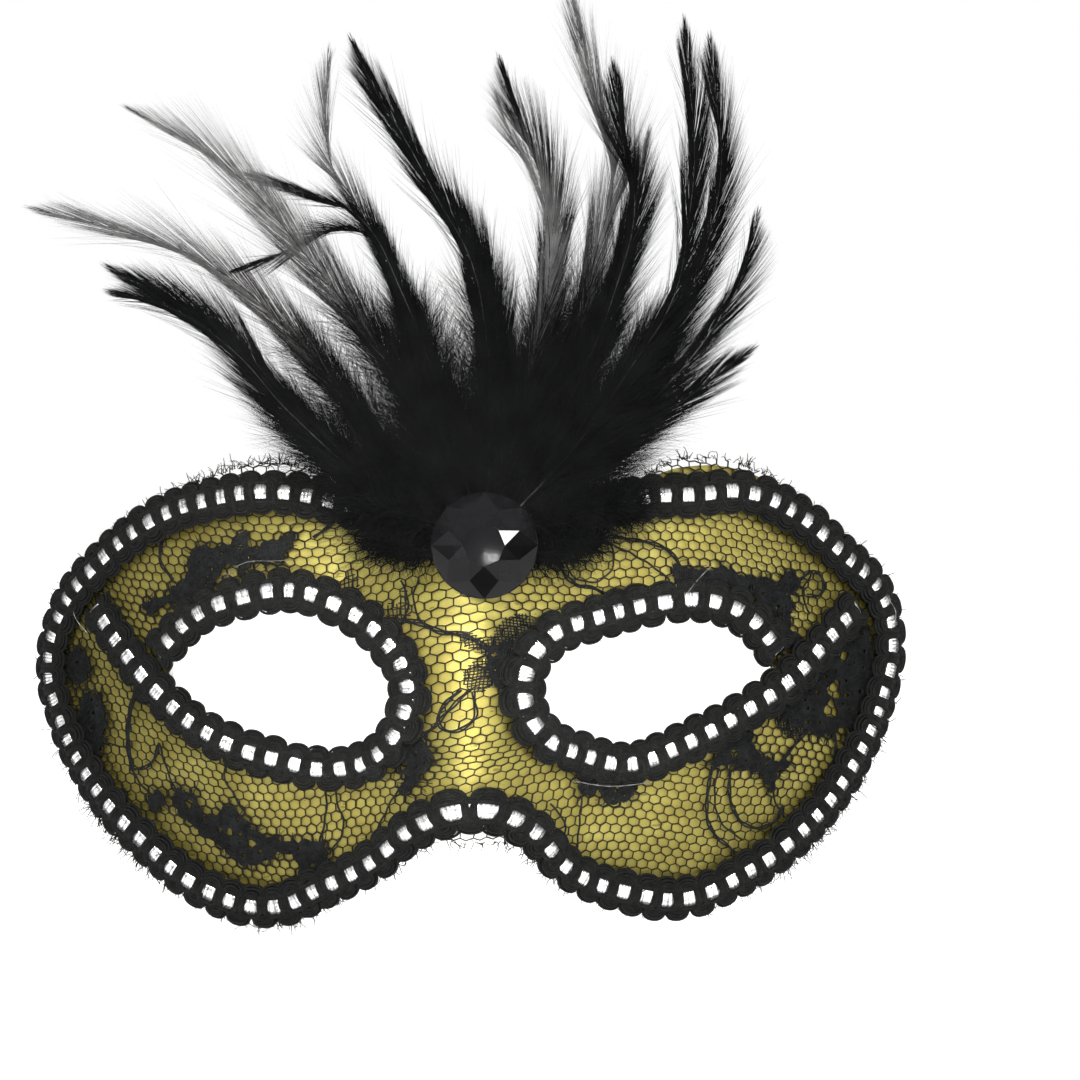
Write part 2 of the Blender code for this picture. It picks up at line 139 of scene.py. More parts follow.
# Dense parts of the lace: outlines in the pattern, each with its holes (u, v, radius)
MOTIFS = (
    (((-60, 17.5), (-57.5, 19.5), (-55.6, 22.5), (-55.3, 25.6), (-50, 26.6), (-46.7, 27), (-45.6, 29),
      (-43.2, 29), (-42.7, 26.6), (-38, 27.8), (-33.5, 28.4), (-35, 26), (-37, 23.2), (-42, 23.3),
      (-44, 20.5), (-46, 22.8), (-48.3, 22.2), (-49.5, 19.5), (-52, 17), (-57, 15.5)),
     ((-50.5, 22.2, 0.6),)),
    (((-66, 14.8), (-63.5, 16.2), (-60, 17), (-59, 16), (-61.5, 14.8), (-64.5, 13.2)), ()),
    (((-85, 5), (-82, 6.5), (-79.5, 4.5), (-79.5, 1.5), (-82, -0.5), (-85, 1)), ()),
    (((-81, -3), (-77, -2.5), (-75, -8), (-76.5, -14), (-74.5, -19), (-71, -22.5), (-74, -25.5), (-79, -21),
      (-81.5, -12)), ((-78.3, -9, 0.8),)),
    (((-64.5, -21.5), (-62.5, -20.5), (-61, -22), (-62, -24.5), (-64, -24.5)), ()),
    (((-59, -21), (-55.5, -20.5), (-53, -23.5), (-51.5, -25.5), (-47.5, -23), (-44.5, -24.5), (-42, -27.5),
      (-37.5, -29), (-33, -29.5), (-28.5, -29.5), (-27, -33), (-29, -36.5), (-33, -37), (-33.5, -33),
      (-37, -32), (-41, -34.5), (-45.5, -34), (-49, -31), (-53, -28.5), (-57.5, -25)),
     ((-55.7, -23, 1.2), (-52.3, -26, 0.6), (-46.8, -28.3, 1.0), (-42.6, -30.3, 1.1))),
    (((-13, -9.5), (-7, -10.5), (-6, -13.5), (-8.5, -17.5), (-12, -20.5), (-11.5, -17), (-14.5, -13.5)),
     ((-11.5, -14.8, 0.9), (-9, -12.7, 0.5))),
    (((4, 8), (7.5, 8.5), (9.5, 4), (9, -1), (6, -2.5), (4, 0.5), (2.3, 3.5)), ()),
    (((38.5, 22.5), (44, 22), (50, 22.5), (53, 20.8), (58, 20.5), (61, 17.5), (64, 16), (63, 12), (65, 8),
      (61.5, 6.5), (59.5, 12), (56, 16), (50, 18.5), (44, 18), (39.5, 19)), ((54.5, 18.6, 0.7),
      (60.3, 14.8, 0.6))),
    (((60.5, 17.5), (61.5, 21), (64.5, 21.5), (65.5, 19.5), (63.5, 17)), ()),
    (((63, 3.5), (67, 7), (72, 10), (76, 13), (80, 12), (83, 8), (83.5, 0), (82, -7), (79, -9.5), (75, -9),
      (71, -10.5), (66.5, -9), (62, -7), (60, -1)),
     ((73.5, -1.4, 1.9), (72.6, -5.3, 1.9), (69.4, -1.9, 0.7), (75.8, 5.0, 1.3), (80.4, 9.8, 0.9))),
    (((50.5, -6.5), (54, -7.5), (55.5, -12), (59, -14.5), (63, -15), (60.3, -17.5), (59, -21), (57, -17.5),
      (54, -17), (50, -15.5), (46.5, -15.5), (49, -11)), ((51, -13.2, 1.0),)),
    (((20, -17), (25, -17), (30, -17.5), (31.5, -20), (28.5, -22), (25.5, -22.5), (24.5, -20.5),
      (20.5, -20.5)),
     ((27.6, -19.6, 0.7),)),
)

# Woven parts of the lace, whose threads cross squarely
WOVEN = (
    ((-1.5, 9.8), (3, 9), (5.5, 12.5), (10.5, 13), (11, 9), (7, 7), (2, 6.3)),
    ((0, 4), (3.4, 4.5), (3.6, 1), (2.4, -0.8), (-0.4, -0.4)),
    ((60, -4), (64, -3.5), (66, -9.5), (62, -10)),
)
LADDERS = (
    ((-16, 12.5), (-14.8, 16.5), (-13.4, 15), (-11.6, 19.8), (-10.4, 12.5)),
    ((-25, 18.5), (-22.6, 23.4), (-20.6, 18.8)),
)

# Heavy cords of the lace: points and the number of threads that lie side by side
VINES = (
    (((-16, 12.5), (-9, 12), (-5, 10.3), (-1, 9.6), (3, 7)), 3),
    (((-12.5, 20), (-11, 16), (-12, 12)), 1),
    (((-9, 20.5), (-10, 16.5), (-8.5, 12)), 1),
    (((0, -0.5), (-3, -4), (-7, -8.5), (-13, -11)), 2),
    (((-1.5, -0.5), (-5, -5.5), (-4, -8), (0.4, -6.3), (0.5, -1)), 2),
    (((-7, -8.5), (-8, -14), (-13, -20), (-17, -27)), 1),
    (((-67.5, -1.5), (-69, -6), (-69.5, -11), (-68.5, -17)), 3),
    (((-78, -10), (-74, -12), (-69.5, -12.5)), 1),
    (((-68.5, -17), (-64, -15.5), (-62, -11.5)), 2),
    (((-62, -11.5), (-60.5, -16), (-58, -21), (-54, -26)), 1),
    (((-68.5, -17), (-66, -20), (-62, -23)), 1),
    (((-59, 20), (-62, 24), (-60, 31)), 2),
    (((-30, 28), (-25, 32), (-22, 36)), 2),
    (((-27.5, -17.4), (-27.5, -24), (-29.2, -31)), 1),
    (((-24, -16), (-25.5, -20), (-24, -27), (-27, -32)), 1),
    (((-45, -13), (-48, -17), (-46.5, -20), (-44, -24)), 1),
    (((23.5, 28.5), (30, 27.8), (37.7, 25.6), (40.5, 22)), 2),
    (((17, 29), (19.5, 28.8), (26, 27), (34, 23), (38, 20)), 1),
    (((22.5, 28), (18.5, 26.5), (17.8, 22.5), (20.5, 20), (25, 20.4), (27, 24), (25.5, 27.5), (22.5, 28)), 1),
    (((16, 23), (19, 19.5), (23, 18.5), (28, 16)), 2),
    (((65.5, 20), (68.5, 21.5), (71, 19.5), (70, 17), (67, 17)), 2),
    (((68, 21), (66, 17.5), (67.5, 13.5)), 1),
    (((46.5, -15.5), (45.5, -21), (46, -27), (51.5, -32.5)), 2),
    (((47.5, -16), (47, -22), (48.5, -26.5), (53, -30)), 1),
    (((50, -16.5), (50.5, -23), (54, -27.3), (59.5, -26.8), (61.7, -23.5)), 2),
    (((60.5, -16), (63.5, -12.5), (68, -9), (72, -8.5), (74, -12.5), (72.5, -17)), 2),
    (((59, -20), (60, -23), (62, -26)), 1),
    (((20.5, -21), (20, -26), (19.3, -33)), 1),
    (((14, -22), (17, -26), (16, -31)), 1),
)

# Each feather: slab, barb length, barbs to the millimetre, tone (0 black, 1 grey) and route to its tip
FEATHERS = (
    (0, 9, 5.0, 1, ((-9, 37), (-23, 54), (-34, 67), (-49, 80), (-66, 87), (-85, 92))),
    (1, 9, 6.0, 0, ((-15, 37), (-32, 51), (-45, 66), (-56, 73), (-69, 80))),
    (2, 9, 7.0, 0, ((-15, 36), (-34, 52), (-45, 64), (-57, 72), (-68, 75))),
    (3, 10, 5.0, 1, ((-4, 39), (-11, 54), (-21, 69), (-32, 83), (-41, 94), (-53, 103), (-64, 109))),
    (0, 6, 5.0, 1, ((-7, 54), (-13, 73), (-23, 94), (-26, 98), (-28, 109), (-27.5, 122))),
    (1, 5, 5.0, 0, ((-9, 60), (-13, 73), (-17, 84), (-24, 87), (-34, 83), (-45, 79))),
    (2, 5, 6.0, 0, ((-6, 56), (-13, 75), (-21, 89), (-27, 92), (-42, 97))),
    (3, 9, 7.0, 0, ((4, 51), (3, 67), (0, 81), (-6, 92), (-12, 103), (-18, 113), (-22, 121.5))),
    (1, 8, 7.0, 0, ((6, 64), (4, 75), (0, 86), (-4, 94))),
    (0, 9, 6.0, 0, ((8, 41), (13, 58), (15, 73), (16, 86), (14, 98), (9, 109), (5.5, 120))),
    (4, 7, 5.0, 1, ((11, 58), (15, 81), (13, 94), (8, 103), (5, 111))),
    (2, 9, 6.0, 1, ((13, 51), (20, 67), (24, 83), (27, 96), (25, 107), (22, 118), (18.5, 134))),
    (3, 9, 7.0, 0, ((17, 51), (28, 77), (31, 92), (29, 101), (27, 117))),
    (1, 9, 5.0, 1, ((17, 54), (24, 69), (30, 86), (32, 96), (34, 106))),
    (4, 9, 5.5, 0, ((21, 47), (30, 60), (38, 73), (41, 88), (42, 101), (41, 113), (40, 124))),
    (0, 9, 5.0, 0, ((32, 58), (41, 73), (46, 88), (48, 101), (47, 113), (46, 124.5))),
    (3, 8, 5.0, 0, ((32, 52), (43, 64), (50, 75), (54, 89))),
    (2, 8, 5.5, 0, ((24, 43), (36, 51), (45, 58), (53, 64))),
)
# Shares of a feather's length: its bare root, and the part that has fluff
BARE_ROOT, FLUFF_SHARE, FLUFF_PER_MM = 0.06, 0.42, 34
# The downy feathers round the gem: slab, strand length, number of strands and route
DOWN_FEATHERS = (
    (5, 8, 3400, ((-6, 31), (-13, 33), (-20, 35))),
    (4, 6, 1800, ((-6, 26), (-12, 26.5), (-18, 28.5))),
    (5, 8, 3600, ((11, 31), (20, 33), (29, 34.5))),
    (4, 6, 1800, ((11, 25.5), (17, 26), (23, 28))),
)

# The camera and the lamps, in metres, watts and degrees
CAMERA_PLACE, CAMERA_LENS = (0.0132, -0.614, 0.028), 108.1
# Each lamp: name, place, target, size, power and spread
LAMPS = (
    ("key", (-0.06, -0.55, 0.42), (0.0, 0, 0.0), (0.35, 0.2), 7.0, 180.0),
    ("fill", (0.55, -0.6, 0.15), (0.02, 0, 0.0), (0.5, 0.5), 3.5, 180.0),
    ("bridge", (-0.03, -0.7, 0.08), (-0.004, 0, 0.022), (0.1, 0.1), 0.06, 4.8),
)
# Each glint: name, the face of the gem that mirrors it (radius, turn, height, steepness), size and power
GLINTS = (
    ("glint_star", 5.0, 22.5, 5.4, STAR_DROP / STAR_RUN, (0.03, 0.02), 0.25),
    ("glint_table", 2.7, 300.0, 6.0, 0.0, (0.0045, 0.003), 0.003),
)


# ---------------------------------------------------------------- the form of the face

def form(x, z):
    """How far back the shell's inner surface lies at (x, z)."""
    wrap = x * x / (2 * WRAP_RADIUS) + TEMPLE_TURN * (x / HALF_FACE) ** 4
    ridge = RIDGE_HEIGHT - RIDGE_GAIN * np.tanh(z / RIDGE_FADE)
    return wrap + z * z / (2 * RISE_RADIUS) + RIDGE_HEIGHT - ridge * np.exp(-((x / RIDGE_WIDTH) ** 2))


WRAP_X = np.linspace(0, 130, 2601)
WRAP_SLOPE = WRAP_X / WRAP_RADIUS + 4 * TEMPLE_TURN * WRAP_X**3 / HALF_FACE**4
WRAP_STRETCH = np.sqrt(1 + WRAP_SLOPE**2)
WRAP_LENGTH = np.concatenate([[0], np.cumsum((WRAP_STRETCH[1:] + WRAP_STRETCH[:-1]) / 2 * np.diff(WRAP_X))])


def on_face(u, v, height):
    """Points at this height in front of the shell's inner surface, over the pattern's (u, v)."""
    u, v, height = np.broadcast_arrays(np.asarray(u, float), np.asarray(v, float), np.asarray(height, float))
    x = np.sign(u) * np.interp(np.abs(u), WRAP_LENGTH, WRAP_X)
    slope_x = (form(x + 1, v) - form(x - 1, v)) / 2
    slope_z = (form(x, v + 1) - form(x, v - 1)) / 2
    length = np.sqrt(1 + slope_x**2 + slope_z**2)
    depth = form(x, v) - height / length
    return np.stack([x + height * slope_x / length, depth, v + height * slope_z / length], -1)


def outward(u, v):
    """The direction straight out of the face over the pattern's (u, v)."""
    return on_face(u, v, 1.0) - on_face(u, v, 0.0)


def bell(values, centre, width):
    return np.exp(-(((values - centre) / width) ** 2))


# ---------------------------------------------------------------- lines in the pattern

def smooth_line(points, closed, steps):
    """A smooth line through the points, in the way of a curve with automatic handles."""
    knots = np.asarray(points, float)
    if closed:
        before, after = np.roll(knots, 1, 0), np.roll(knots, -1, 0)
    else:
        before = np.vstack([2 * knots[0] - knots[1], knots[:-1]])
        after = np.vstack([knots[1:], 2 * knots[-1] - knots[-2]])
    back, ahead = knots - before, after - knots
    back_length = np.linalg.norm(back, axis=1, keepdims=True)
    ahead_length = np.linalg.norm(ahead, axis=1, keepdims=True)
    lean = back / back_length + ahead / ahead_length
    scale = np.linalg.norm(lean, axis=1, keepdims=True) * 2.5614
    left, right = knots - lean * back_length / scale, knots + lean * ahead_length / scale
    last = len(knots) if closed else len(knots) - 1
    t = (np.arange(steps) / steps)[None, :, None]
    a, b = knots[:last, None], right[:last, None]
    c, d = np.roll(left, -1, 0)[:last, None], np.roll(knots, -1, 0)[:last, None]
    line = (1 - t) ** 3 * a + 3 * (1 - t) ** 2 * t * b + 3 * (1 - t) * t * t * c + t**3 * d
    line = line.reshape(-1, knots.shape[1])
    return line if closed else np.vstack([line, knots[-1:]])


def spaced(line, step, closed=False):
    """The line again with points about step apart."""
    if closed:
        line = np.vstack([line, line[:1]])
    along = np.concatenate([[0], np.cumsum(np.linalg.norm(np.diff(line, axis=0), axis=1))])
    count = max(2, round(along[-1] / step))
    places = np.linspace(0, along[-1], count + 1)
    if closed:
        places = places[:-1]
    return np.stack([np.interp(places, along, line[:, i]) for i in range(line.shape[1])], 1)


def moved_out(points, distance):
    """The closed outline's points, each moved along its outward normal."""
    points = np.asarray(points, float)
    after, before = np.roll(points, -1, 0), np.roll(points, 1, 0)
    area = np.sum(points[:, 0] * after[:, 1] - points[:, 1] * after[:, 0])
    along = after - before
    along /= np.linalg.norm(along, axis=1, keepdims=True)
    distance = np.broadcast_to(np.asarray(distance, float), (len(points),))[:, None]
    return points + np.sign(area) * distance * np.stack([along[:, 1], -along[:, 0]], 1)


def across(line):
    """The direction to the left of a line (n, 2) at each of its points."""
    along = unit(np.gradient(line, axis=0))
    return np.stack([-along[:, 1], along[:, 0]], 1)


def bearings(line):
    """The angle at which a line (n, 2) runs at each of its points."""
    along = unit(np.gradient(line, axis=0))
    return np.unwrap(np.arctan2(along[:, 1], along[:, 0]))


def around(centre, radius, turns):
    return np.stack([centre[0] + radius * np.cos(turns), centre[1] + radius * np.sin(turns)], 1)


def enclosed(outline):
    """The area of a closed outline."""
    after = np.roll(outline, -1, 0)
    return abs(np.sum(outline[:, 0] * after[:, 1] - outline[:, 1] * after[:, 0])) / 2


def clear_of(points, holes, gap):
    """Which points lie more than the gap outside every hole (u, v, radius)."""
    result = np.ones(len(points), bool)
    for u, v, radius in holes:
        result &= np.hypot(points[:, 0] - u, points[:, 1] - v) > radius + gap
    return result


def inside(points, outline):
    """Which points lie inside the closed outline."""
    x, y = points[:, 0], points[:, 1]
    result = np.zeros(len(points), bool)
    for (ax, ay), (bx, by) in zip(outline, np.roll(outline, -1, 0)):
        crosses = (ay > y) != (by > y)
        if abs(by - ay) > 1e-12:
            result ^= crosses & (x < (bx - ax) * (y - ay) / (by - ay) + ax)
    return result


def nearest(points, line):
    """How far each point lies from the nearest point of the line."""
    best = np.full(len(points), 1e9)
    for start in range(0, len(line), 64):
        gaps = points[:, None] - line[None, start:start + 64]
        best = np.minimum(best, np.sqrt((gaps**2).sum(-1)).min(1))
    return best


def region(outline, holes, spacing):
    """(points, triangles) that fill the outline less the holes, in the pattern."""
    loops = [spaced(outline, spacing, True)] + [spaced(hole, min(spacing, 0.8), True) for hole in holes]
    low, high = outline.min(0), outline.max(0)
    columns = np.arange(low[0], high[0] + spacing, spacing)
    rows = np.arange(low[1], high[1] + spacing, spacing * 0.866)
    grid = np.stack(np.meshgrid(columns, rows), -1)
    grid[1::2, :, 0] += spacing / 2
    grid = grid.reshape(-1, 2)
    keep = inside(grid, outline)
    for hole in holes:
        keep &= ~inside(grid, hole)
    grid = grid[keep]
    grid = grid[nearest(grid, np.vstack(loops)) > 0.5 * spacing]
    edges, count = [], 0
    for loop in loops:
        edges += [(count + i, count + (i + 1) % len(loop)) for i in range(len(loop))]
        count += len(loop)
    points = np.vstack([*loops, grid])
    found, _, faces, *_ = delaunay_2d_cdt([Vector(p) for p in points], edges, [], 0, 1e-5)
    points, faces = np.array([tuple(p) for p in found]), np.array([tuple(f) for f in faces])
    middles = points[faces].mean(1)
    keep = inside(middles, loops[0])
    for loop in loops[1:]:
        keep &= ~inside(middles, loop)
    faces = faces[keep]
    a, b, c = (points[faces[:, i]] for i in range(3))
    turn = (b[:, 0] - a[:, 0]) * (c[:, 1] - a[:, 1]) - (b[:, 1] - a[:, 1]) * (c[:, 0] - a[:, 0])
    faces = np.where(turn[:, None] < 0, faces[:, ::-1], faces)[np.abs(turn) > 1e-9]
    used, faces = np.unique(faces, return_inverse=True)
    return points[used], faces.reshape(-1, 3)


# ---------------------------------------------------------------- meshes

# For faces between points that a shape already has
NO_POINTS = np.zeros((0, 3))


class Shape:
    """Points and faces of one piece while it is being made."""

    def __init__(self):
        self.points, self.faces, self.coords, self.finishes, self.count = [], [], [], [], 0

    def add(self, points, faces, coords=None, finish=0):
        """Adds points (n, 3) and faces (m, 3 or 4), with a pattern coordinate for each corner."""
        self.points.append(points.reshape(-1, 3))
        self.faces.append(faces + self.count)
        self.coords.append(np.zeros((*faces.shape, 2)) if coords is None else coords)
        self.finishes.append(np.full(len(faces), finish))
        self.count += len(points.reshape(-1, 3))

    def mesh(self, name):
        made = bpy.data.meshes.new(name)
        points = np.vstack(self.points) * MM
        corners = np.concatenate([f.ravel() for f in self.faces])
        totals = np.concatenate([np.full(len(f), f.shape[1]) for f in self.faces])
        made.vertices.add(len(points))
        made.vertices.foreach_set("co", points.astype(np.float32).ravel())
        made.loops.add(len(corners))
        made.loops.foreach_set("vertex_index", corners.astype(np.int32))
        made.polygons.add(len(totals))
        starts = np.concatenate([[0], np.cumsum(totals)[:-1]])
        made.polygons.foreach_set("loop_start", starts.astype(np.int32))
        made.polygons.foreach_set("use_smooth", np.full(len(totals), True))
        made.polygons.foreach_set("material_index", np.concatenate(self.finishes).astype(np.int32))
        layer = made.uv_layers.new(name="pattern")
        coords = np.concatenate([c.reshape(-1, 2) for c in self.coords])
        layer.data.foreach_set("uv", coords.astype(np.float32).ravel())
        made.update(calc_edges=True)
        made.validate()
        return made


def unit(vectors):
    return vectors / np.maximum(np.linalg.norm(vectors, axis=-1, keepdims=True), 1e-12)


def add_tubes(shape, paths, radius, up, sides=4, flat=1.0, finish=0, closed=False):
    """Adds round threads along the paths (number, points, 3). flat is their height as a share of their width,
    and up is the direction of that height."""
    number, length = paths.shape[:2]
    radius = np.broadcast_to(np.asarray(radius, float), (number, length))
    up = np.broadcast_to(np.asarray(up, float), paths.shape)
    along = unit(np.roll(paths, -1, 1) - np.roll(paths, 1, 1) if closed else np.gradient(paths, axis=1))
    side = unit(np.cross(along, up))
    top = np.cross(side, along)
    turn = (np.arange(sides) + 0.5) * math.tau / sides
    ring = side[:, :, None] * np.cos(turn)[:, None] + flat * top[:, :, None] * np.sin(turn)[:, None]
    points = paths[:, :, None] + radius[:, :, None, None] * ring
    steps = length if closed else length - 1
    k, i, j = np.meshgrid(np.arange(number), np.arange(steps), np.arange(sides), indexing="ij")
    i2, j2 = (i + 1) % length, (j + 1) % sides
    base = k * length * sides
    here, ahead = base + i * sides, base + i2 * sides
    faces = np.stack([here + j, here + j2, ahead + j2, ahead + j], -1)
    gaps = np.linalg.norm(np.diff(paths, axis=1), axis=2)
    run = np.concatenate([np.zeros((number, 1)), np.cumsum(gaps, axis=1)], 1)
    start, end = run[k, i], run[k, np.minimum(i + 1, length - 1)]
    low, high = j / sides, (j + 1) / sides
    coords = np.stack([np.stack(p, -1) for p in ((start, low), (start, high), (end, high), (end, low))], -2)
    shape.add(points, faces.reshape(-1, 4), coords.reshape(-1, 4, 2), finish)
    if closed:
        return
    first = shape.count - number * length * sides + np.arange(number) * length * sides
    for i in range(1, sides - 1, 2):
        cap = first[:, None] + np.array([0, i, i + 1, i + 2]) - shape.count
        shape.add(NO_POINTS, cap[:, ::-1], None, finish)
        shape.add(NO_POINTS, cap + (length - 1) * sides, None, finish)


def add_threads(shape, lines, height, radius, sides=4, flat=1.0, finish=0, closed=False):
    """Adds round threads along pattern lines (number, points, 2), or one (points, 2), at this height."""
    lines = lines[None] if lines.ndim == 2 else lines
    u, v = lines[..., 0], lines[..., 1]
    add_tubes(shape, on_face(u, v, height), radius, outward(u, v), sides, flat, finish, closed)


def add_strips(shape, paths, half, side, finish=0):
    """Adds flat fibres along the paths (number, points, 3), of the given half width across side."""
    number, length = paths.shape[:2]
    half = np.broadcast_to(np.asarray(half, float), (number, length))[..., None]
    points = np.stack([paths - half * side, paths + half * side], 2)
    k, i = np.meshgrid(np.arange(number), np.arange(length - 1), indexing="ij")
    base = (k * length + i) * 2
    faces = np.stack([base, base + 1, base + 3, base + 2], -1)
    t, t2 = i / (length - 1), (i + 1) / (length - 1)
    zero, one = np.zeros_like(t), np.ones_like(t)
    coords = np.stack([np.stack(p, -1) for p in ((t, zero), (t, one), (t2, one), (t2, zero))], -2)
    shape.add(points, faces.reshape(-1, 4), coords.reshape(-1, 4, 2), finish)


def add_layer(shape, outline, holes, spacing, back, front, lift=None, finish=0):
    """Adds a layer that covers the outline less the holes. With no back it is a single skin."""
    points, faces = region(outline, holes, spacing)
    extra = 0 if lift is None else lift(points)
    top = on_face(points[:, 0], points[:, 1], front + extra)
    coords = points[faces]
    if back is None:
        shape.add(top, faces, coords, finish)
        return
    count = len(points)
    bottom = on_face(points[:, 0], points[:, 1], back)
    shape.add(np.vstack([top, bottom]), faces, coords, finish)
    shape.add(NO_POINTS, faces[:, ::-1] - count, coords[:, ::-1], finish)
    edges = np.concatenate([faces[:, [0, 1]], faces[:, [1, 2]], faces[:, [2, 0]]])
    _, index, uses = np.unique(np.sort(edges, 1), axis=0, return_inverse=True, return_counts=True)
    rim = edges[uses[index.reshape(-1)] == 1]
    walls = np.stack([rim[:, 1], rim[:, 0], rim[:, 0] + count, rim[:, 1] + count], -1) - 2 * count
    shape.add(NO_POINTS, walls, points[rim[:, [1, 0, 0, 1]]], finish)


def piece(name, made, finishes, slot, *nodes):
    """A finished piece of the mask, from a Shape or a mesh, which stands for the frame's nodes."""
    mesh = made.mesh(name) if isinstance(made, Shape) else made
    for finish in finishes:
        mesh.materials.append(finish)
    obj = bpy.data.objects.new(name, mesh)
    bpy.context.scene.collection.objects.link(obj)
    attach(obj, "root")
    if nodes:
        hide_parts(*nodes)
    return obj


# ---------------------------------------------------------------- materials

class Finish:
    """A material under construction. Texture scales are in waves or grains to the millimetre."""

    def __init__(self, name, **values):
        self.made = bpy.data.materials.new(name)
        self.made.use_nodes = True
        self.nodes, self.links = self.made.node_tree.nodes, self.made.node_tree.links
        self.shader = self.nodes["Principled BSDF"]
        for key, value in values.items():
            self.shader.inputs[key.replace("_", " ")].default_value = value
        self.place = self.nodes.new("ShaderNodeTexCoord")

    def texture(self, kind, source, scale):
        mapping, node = self.nodes.new("ShaderNodeMapping"), self.nodes.new("ShaderNodeTex" + kind)
        mapping.inputs["Scale"].default_value = scale
        node.inputs["Scale"].default_value = 1.0
        self.links.new(self.place.outputs[source], mapping.inputs["Vector"])
        self.links.new(mapping.outputs["Vector"], node.inputs["Vector"])
        return node

    def noise(self, per_mm, detail=4.0, stretch=(1, 1, 1), source="Object", rough=0.55):
        # Object coordinates are in metres, and pattern coordinates in millimetres
        units = 1000.0 if source == "Object" else 1.0
        node = self.texture("Noise", source, [units * per_mm * s for s in stretch])
        node.inputs["Detail"].default_value = detail
        node.inputs["Roughness"].default_value = rough
        return node.outputs["Fac"]

    def waves(self, per_mm, direction, twist=0.0, stretch=(1, 1, 1)):
        node = self.texture("Wave", "UV", [per_mm * s for s in stretch])
        node.bands_direction = direction
        node.inputs["Distortion"].default_value = twist
        return node.outputs["Fac"]

    def mixed(self, kind, *values):
        node = self.nodes.new("ShaderNodeMath")
        node.operation = kind
        for value, socket in zip(values, node.inputs):
            self.links.new(value, socket)
        return node.outputs[0]

    def weave(self, kind, per_mm, twist):
        return self.mixed(kind, self.waves(per_mm, "X", twist), self.waves(per_mm, "Y", twist))

    def ramp(self, value, *stops):
        node = self.nodes.new("ShaderNodeValToRGB")
        band = node.color_ramp
        while len(band.elements) < len(stops):
            band.elements.new(0.5)
        for element, (place, colour) in zip(band.elements, stops):
            element.position = place
            element.color = (*colour, 1) if isinstance(colour, tuple) else (colour, colour, colour, 1)
        self.links.new(value, node.inputs["Fac"])
        return node.outputs["Color"]

    def paint(self, value, *stops):
        self.links.new(self.ramp(value, *stops), self.shader.inputs["Base Color"])
        return self

    def roughen(self, value, low, high):
        self.links.new(self.ramp(value, (0.3, low), (0.7, high)), self.shader.inputs["Roughness"])
        return self

    def bump(self, value, distance_mm, strength=1.0):
        """A bump on top of those that the material has."""
        node = self.nodes.new("ShaderNodeBump")
        node.inputs["Distance"].default_value = distance_mm * MM
        node.inputs["Strength"].default_value = strength
        self.links.new(value, node.inputs["Height"])
        old = self.shader.inputs["Normal"].links
        if old:
            self.links.new(old[0].from_socket, node.inputs["Normal"])
        self.links.new(node.outputs["Normal"], self.shader.inputs["Normal"])
        return self


def plastic_finish():
    made = Finish("moulded_plastic", Roughness=0.35, IOR=1.49, Subsurface_Weight=0.2,
                  Subsurface_Radius=(0.002, 0.002, 0.002))
    cloud = made.noise(0.05, 5)
    made.paint(cloud, (0.3, (0.66, 0.66, 0.62)), (0.6, (0.78, 0.78, 0.75)), (0.8, (0.72, 0.72, 0.68)))
    made.roughen(made.noise(0.4, 3), 0.28, 0.45)
    return made.bump(made.noise(1.2, 6), 0.05, 0.6).made


def satin_finish():
    made = Finish("gold_satin", Roughness=0.3, IOR=1.5, Metallic=0.35, Specular_IOR_Level=0.6,
                  Specular_Tint=(1.0, 0.93, 0.45, 1), Sheen_Weight=0.12, Sheen_Roughness=0.4,
                  Sheen_Tint=(1.0, 0.95, 0.5, 1))
    made.paint(made.noise(0.09, 5, (1, 1, 2.2)), (0.25, (0.120, 0.098, 0.017)),
               (0.55, (0.168, 0.142, 0.031)), (0.8, (0.222, 0.194, 0.058)))
    made.roughen(made.noise(0.3, 3, (1, 1, 3)), 0.27, 0.38)
    made.bump(made.mixed("ADD", made.waves(3.6, "Y", 0.4), made.waves(1.7, "X", 0.8)), 0.012, 0.5)
    return made.bump(made.noise(0.12, 3), 0.5, 0.35).made


def thread_finish(name, dark, light, roughness=0.75):
    made = Finish(name, Roughness=roughness, Specular_IOR_Level=0.12)
    made.paint(made.noise(0.9, 5), (0.3, dark), (0.75, light))
    return made.roughen(made.noise(2.0, 2), roughness - 0.1, roughness + 0.1)


def net_finish():
    made = thread_finish("net_thread", (0.005, 0.0045, 0.002), (0.014, 0.012, 0.005))
    return made.bump(made.waves(1.0, "DIAGONAL", 0.0, (7, 2, 1)), 0.03).made


def motif_finish():
    made = thread_finish("lace_thread", (0.004, 0.0043, 0.0046), (0.017, 0.018, 0.019))
    made.bump(made.weave("ADD", 2.6, 1.5), 0.14)
    return made.bump(made.noise(1.5, 4), 0.2, 0.7).made


def yarn_finish():
    made = thread_finish("black_yarn", (0.003, 0.003, 0.003), (0.013, 0.0135, 0.012), 0.7)
    made.bump(made.waves(1.0, "DIAGONAL", 0.6, (9, 4, 1)), 0.07)
    return made.bump(made.noise(3.0, 4), 0.16, 0.9).made


def silver_finish():
    made = Finish("silver_foil", Roughness=0.2, Metallic=0.9)
    # Grey streaks painted into the foil's colour are painted reflection of its folds; the same noise also
    # bumps the foil
    folds_and_painted_reflection = made.noise(1.0, 1, (1.7, 0.05, 1), "UV", 0.4)
    made.paint(folds_and_painted_reflection, (0.34, (0.3, 0.3, 0.305)), (0.44, (0.5, 0.5, 0.5)), (0.56, (0.84, 0.84, 0.84)))
    made.roughen(made.noise(0.8, 2), 0.2, 0.35)
    return made.bump(folds_and_painted_reflection, 0.03, 0.4).made


def gem_finish(name, gloss, dark, light):
    made = Finish(name, Roughness=0.03, IOR=1.52, Specular_IOR_Level=gloss)
    made.paint(made.noise(0.12, 3), (0.3, dark), (0.7, light))
    made.roughen(made.noise(1.2, 4), 0.02, 0.05)
    return made.bump(made.noise(0.25, 2), 0.02, 0.07).made


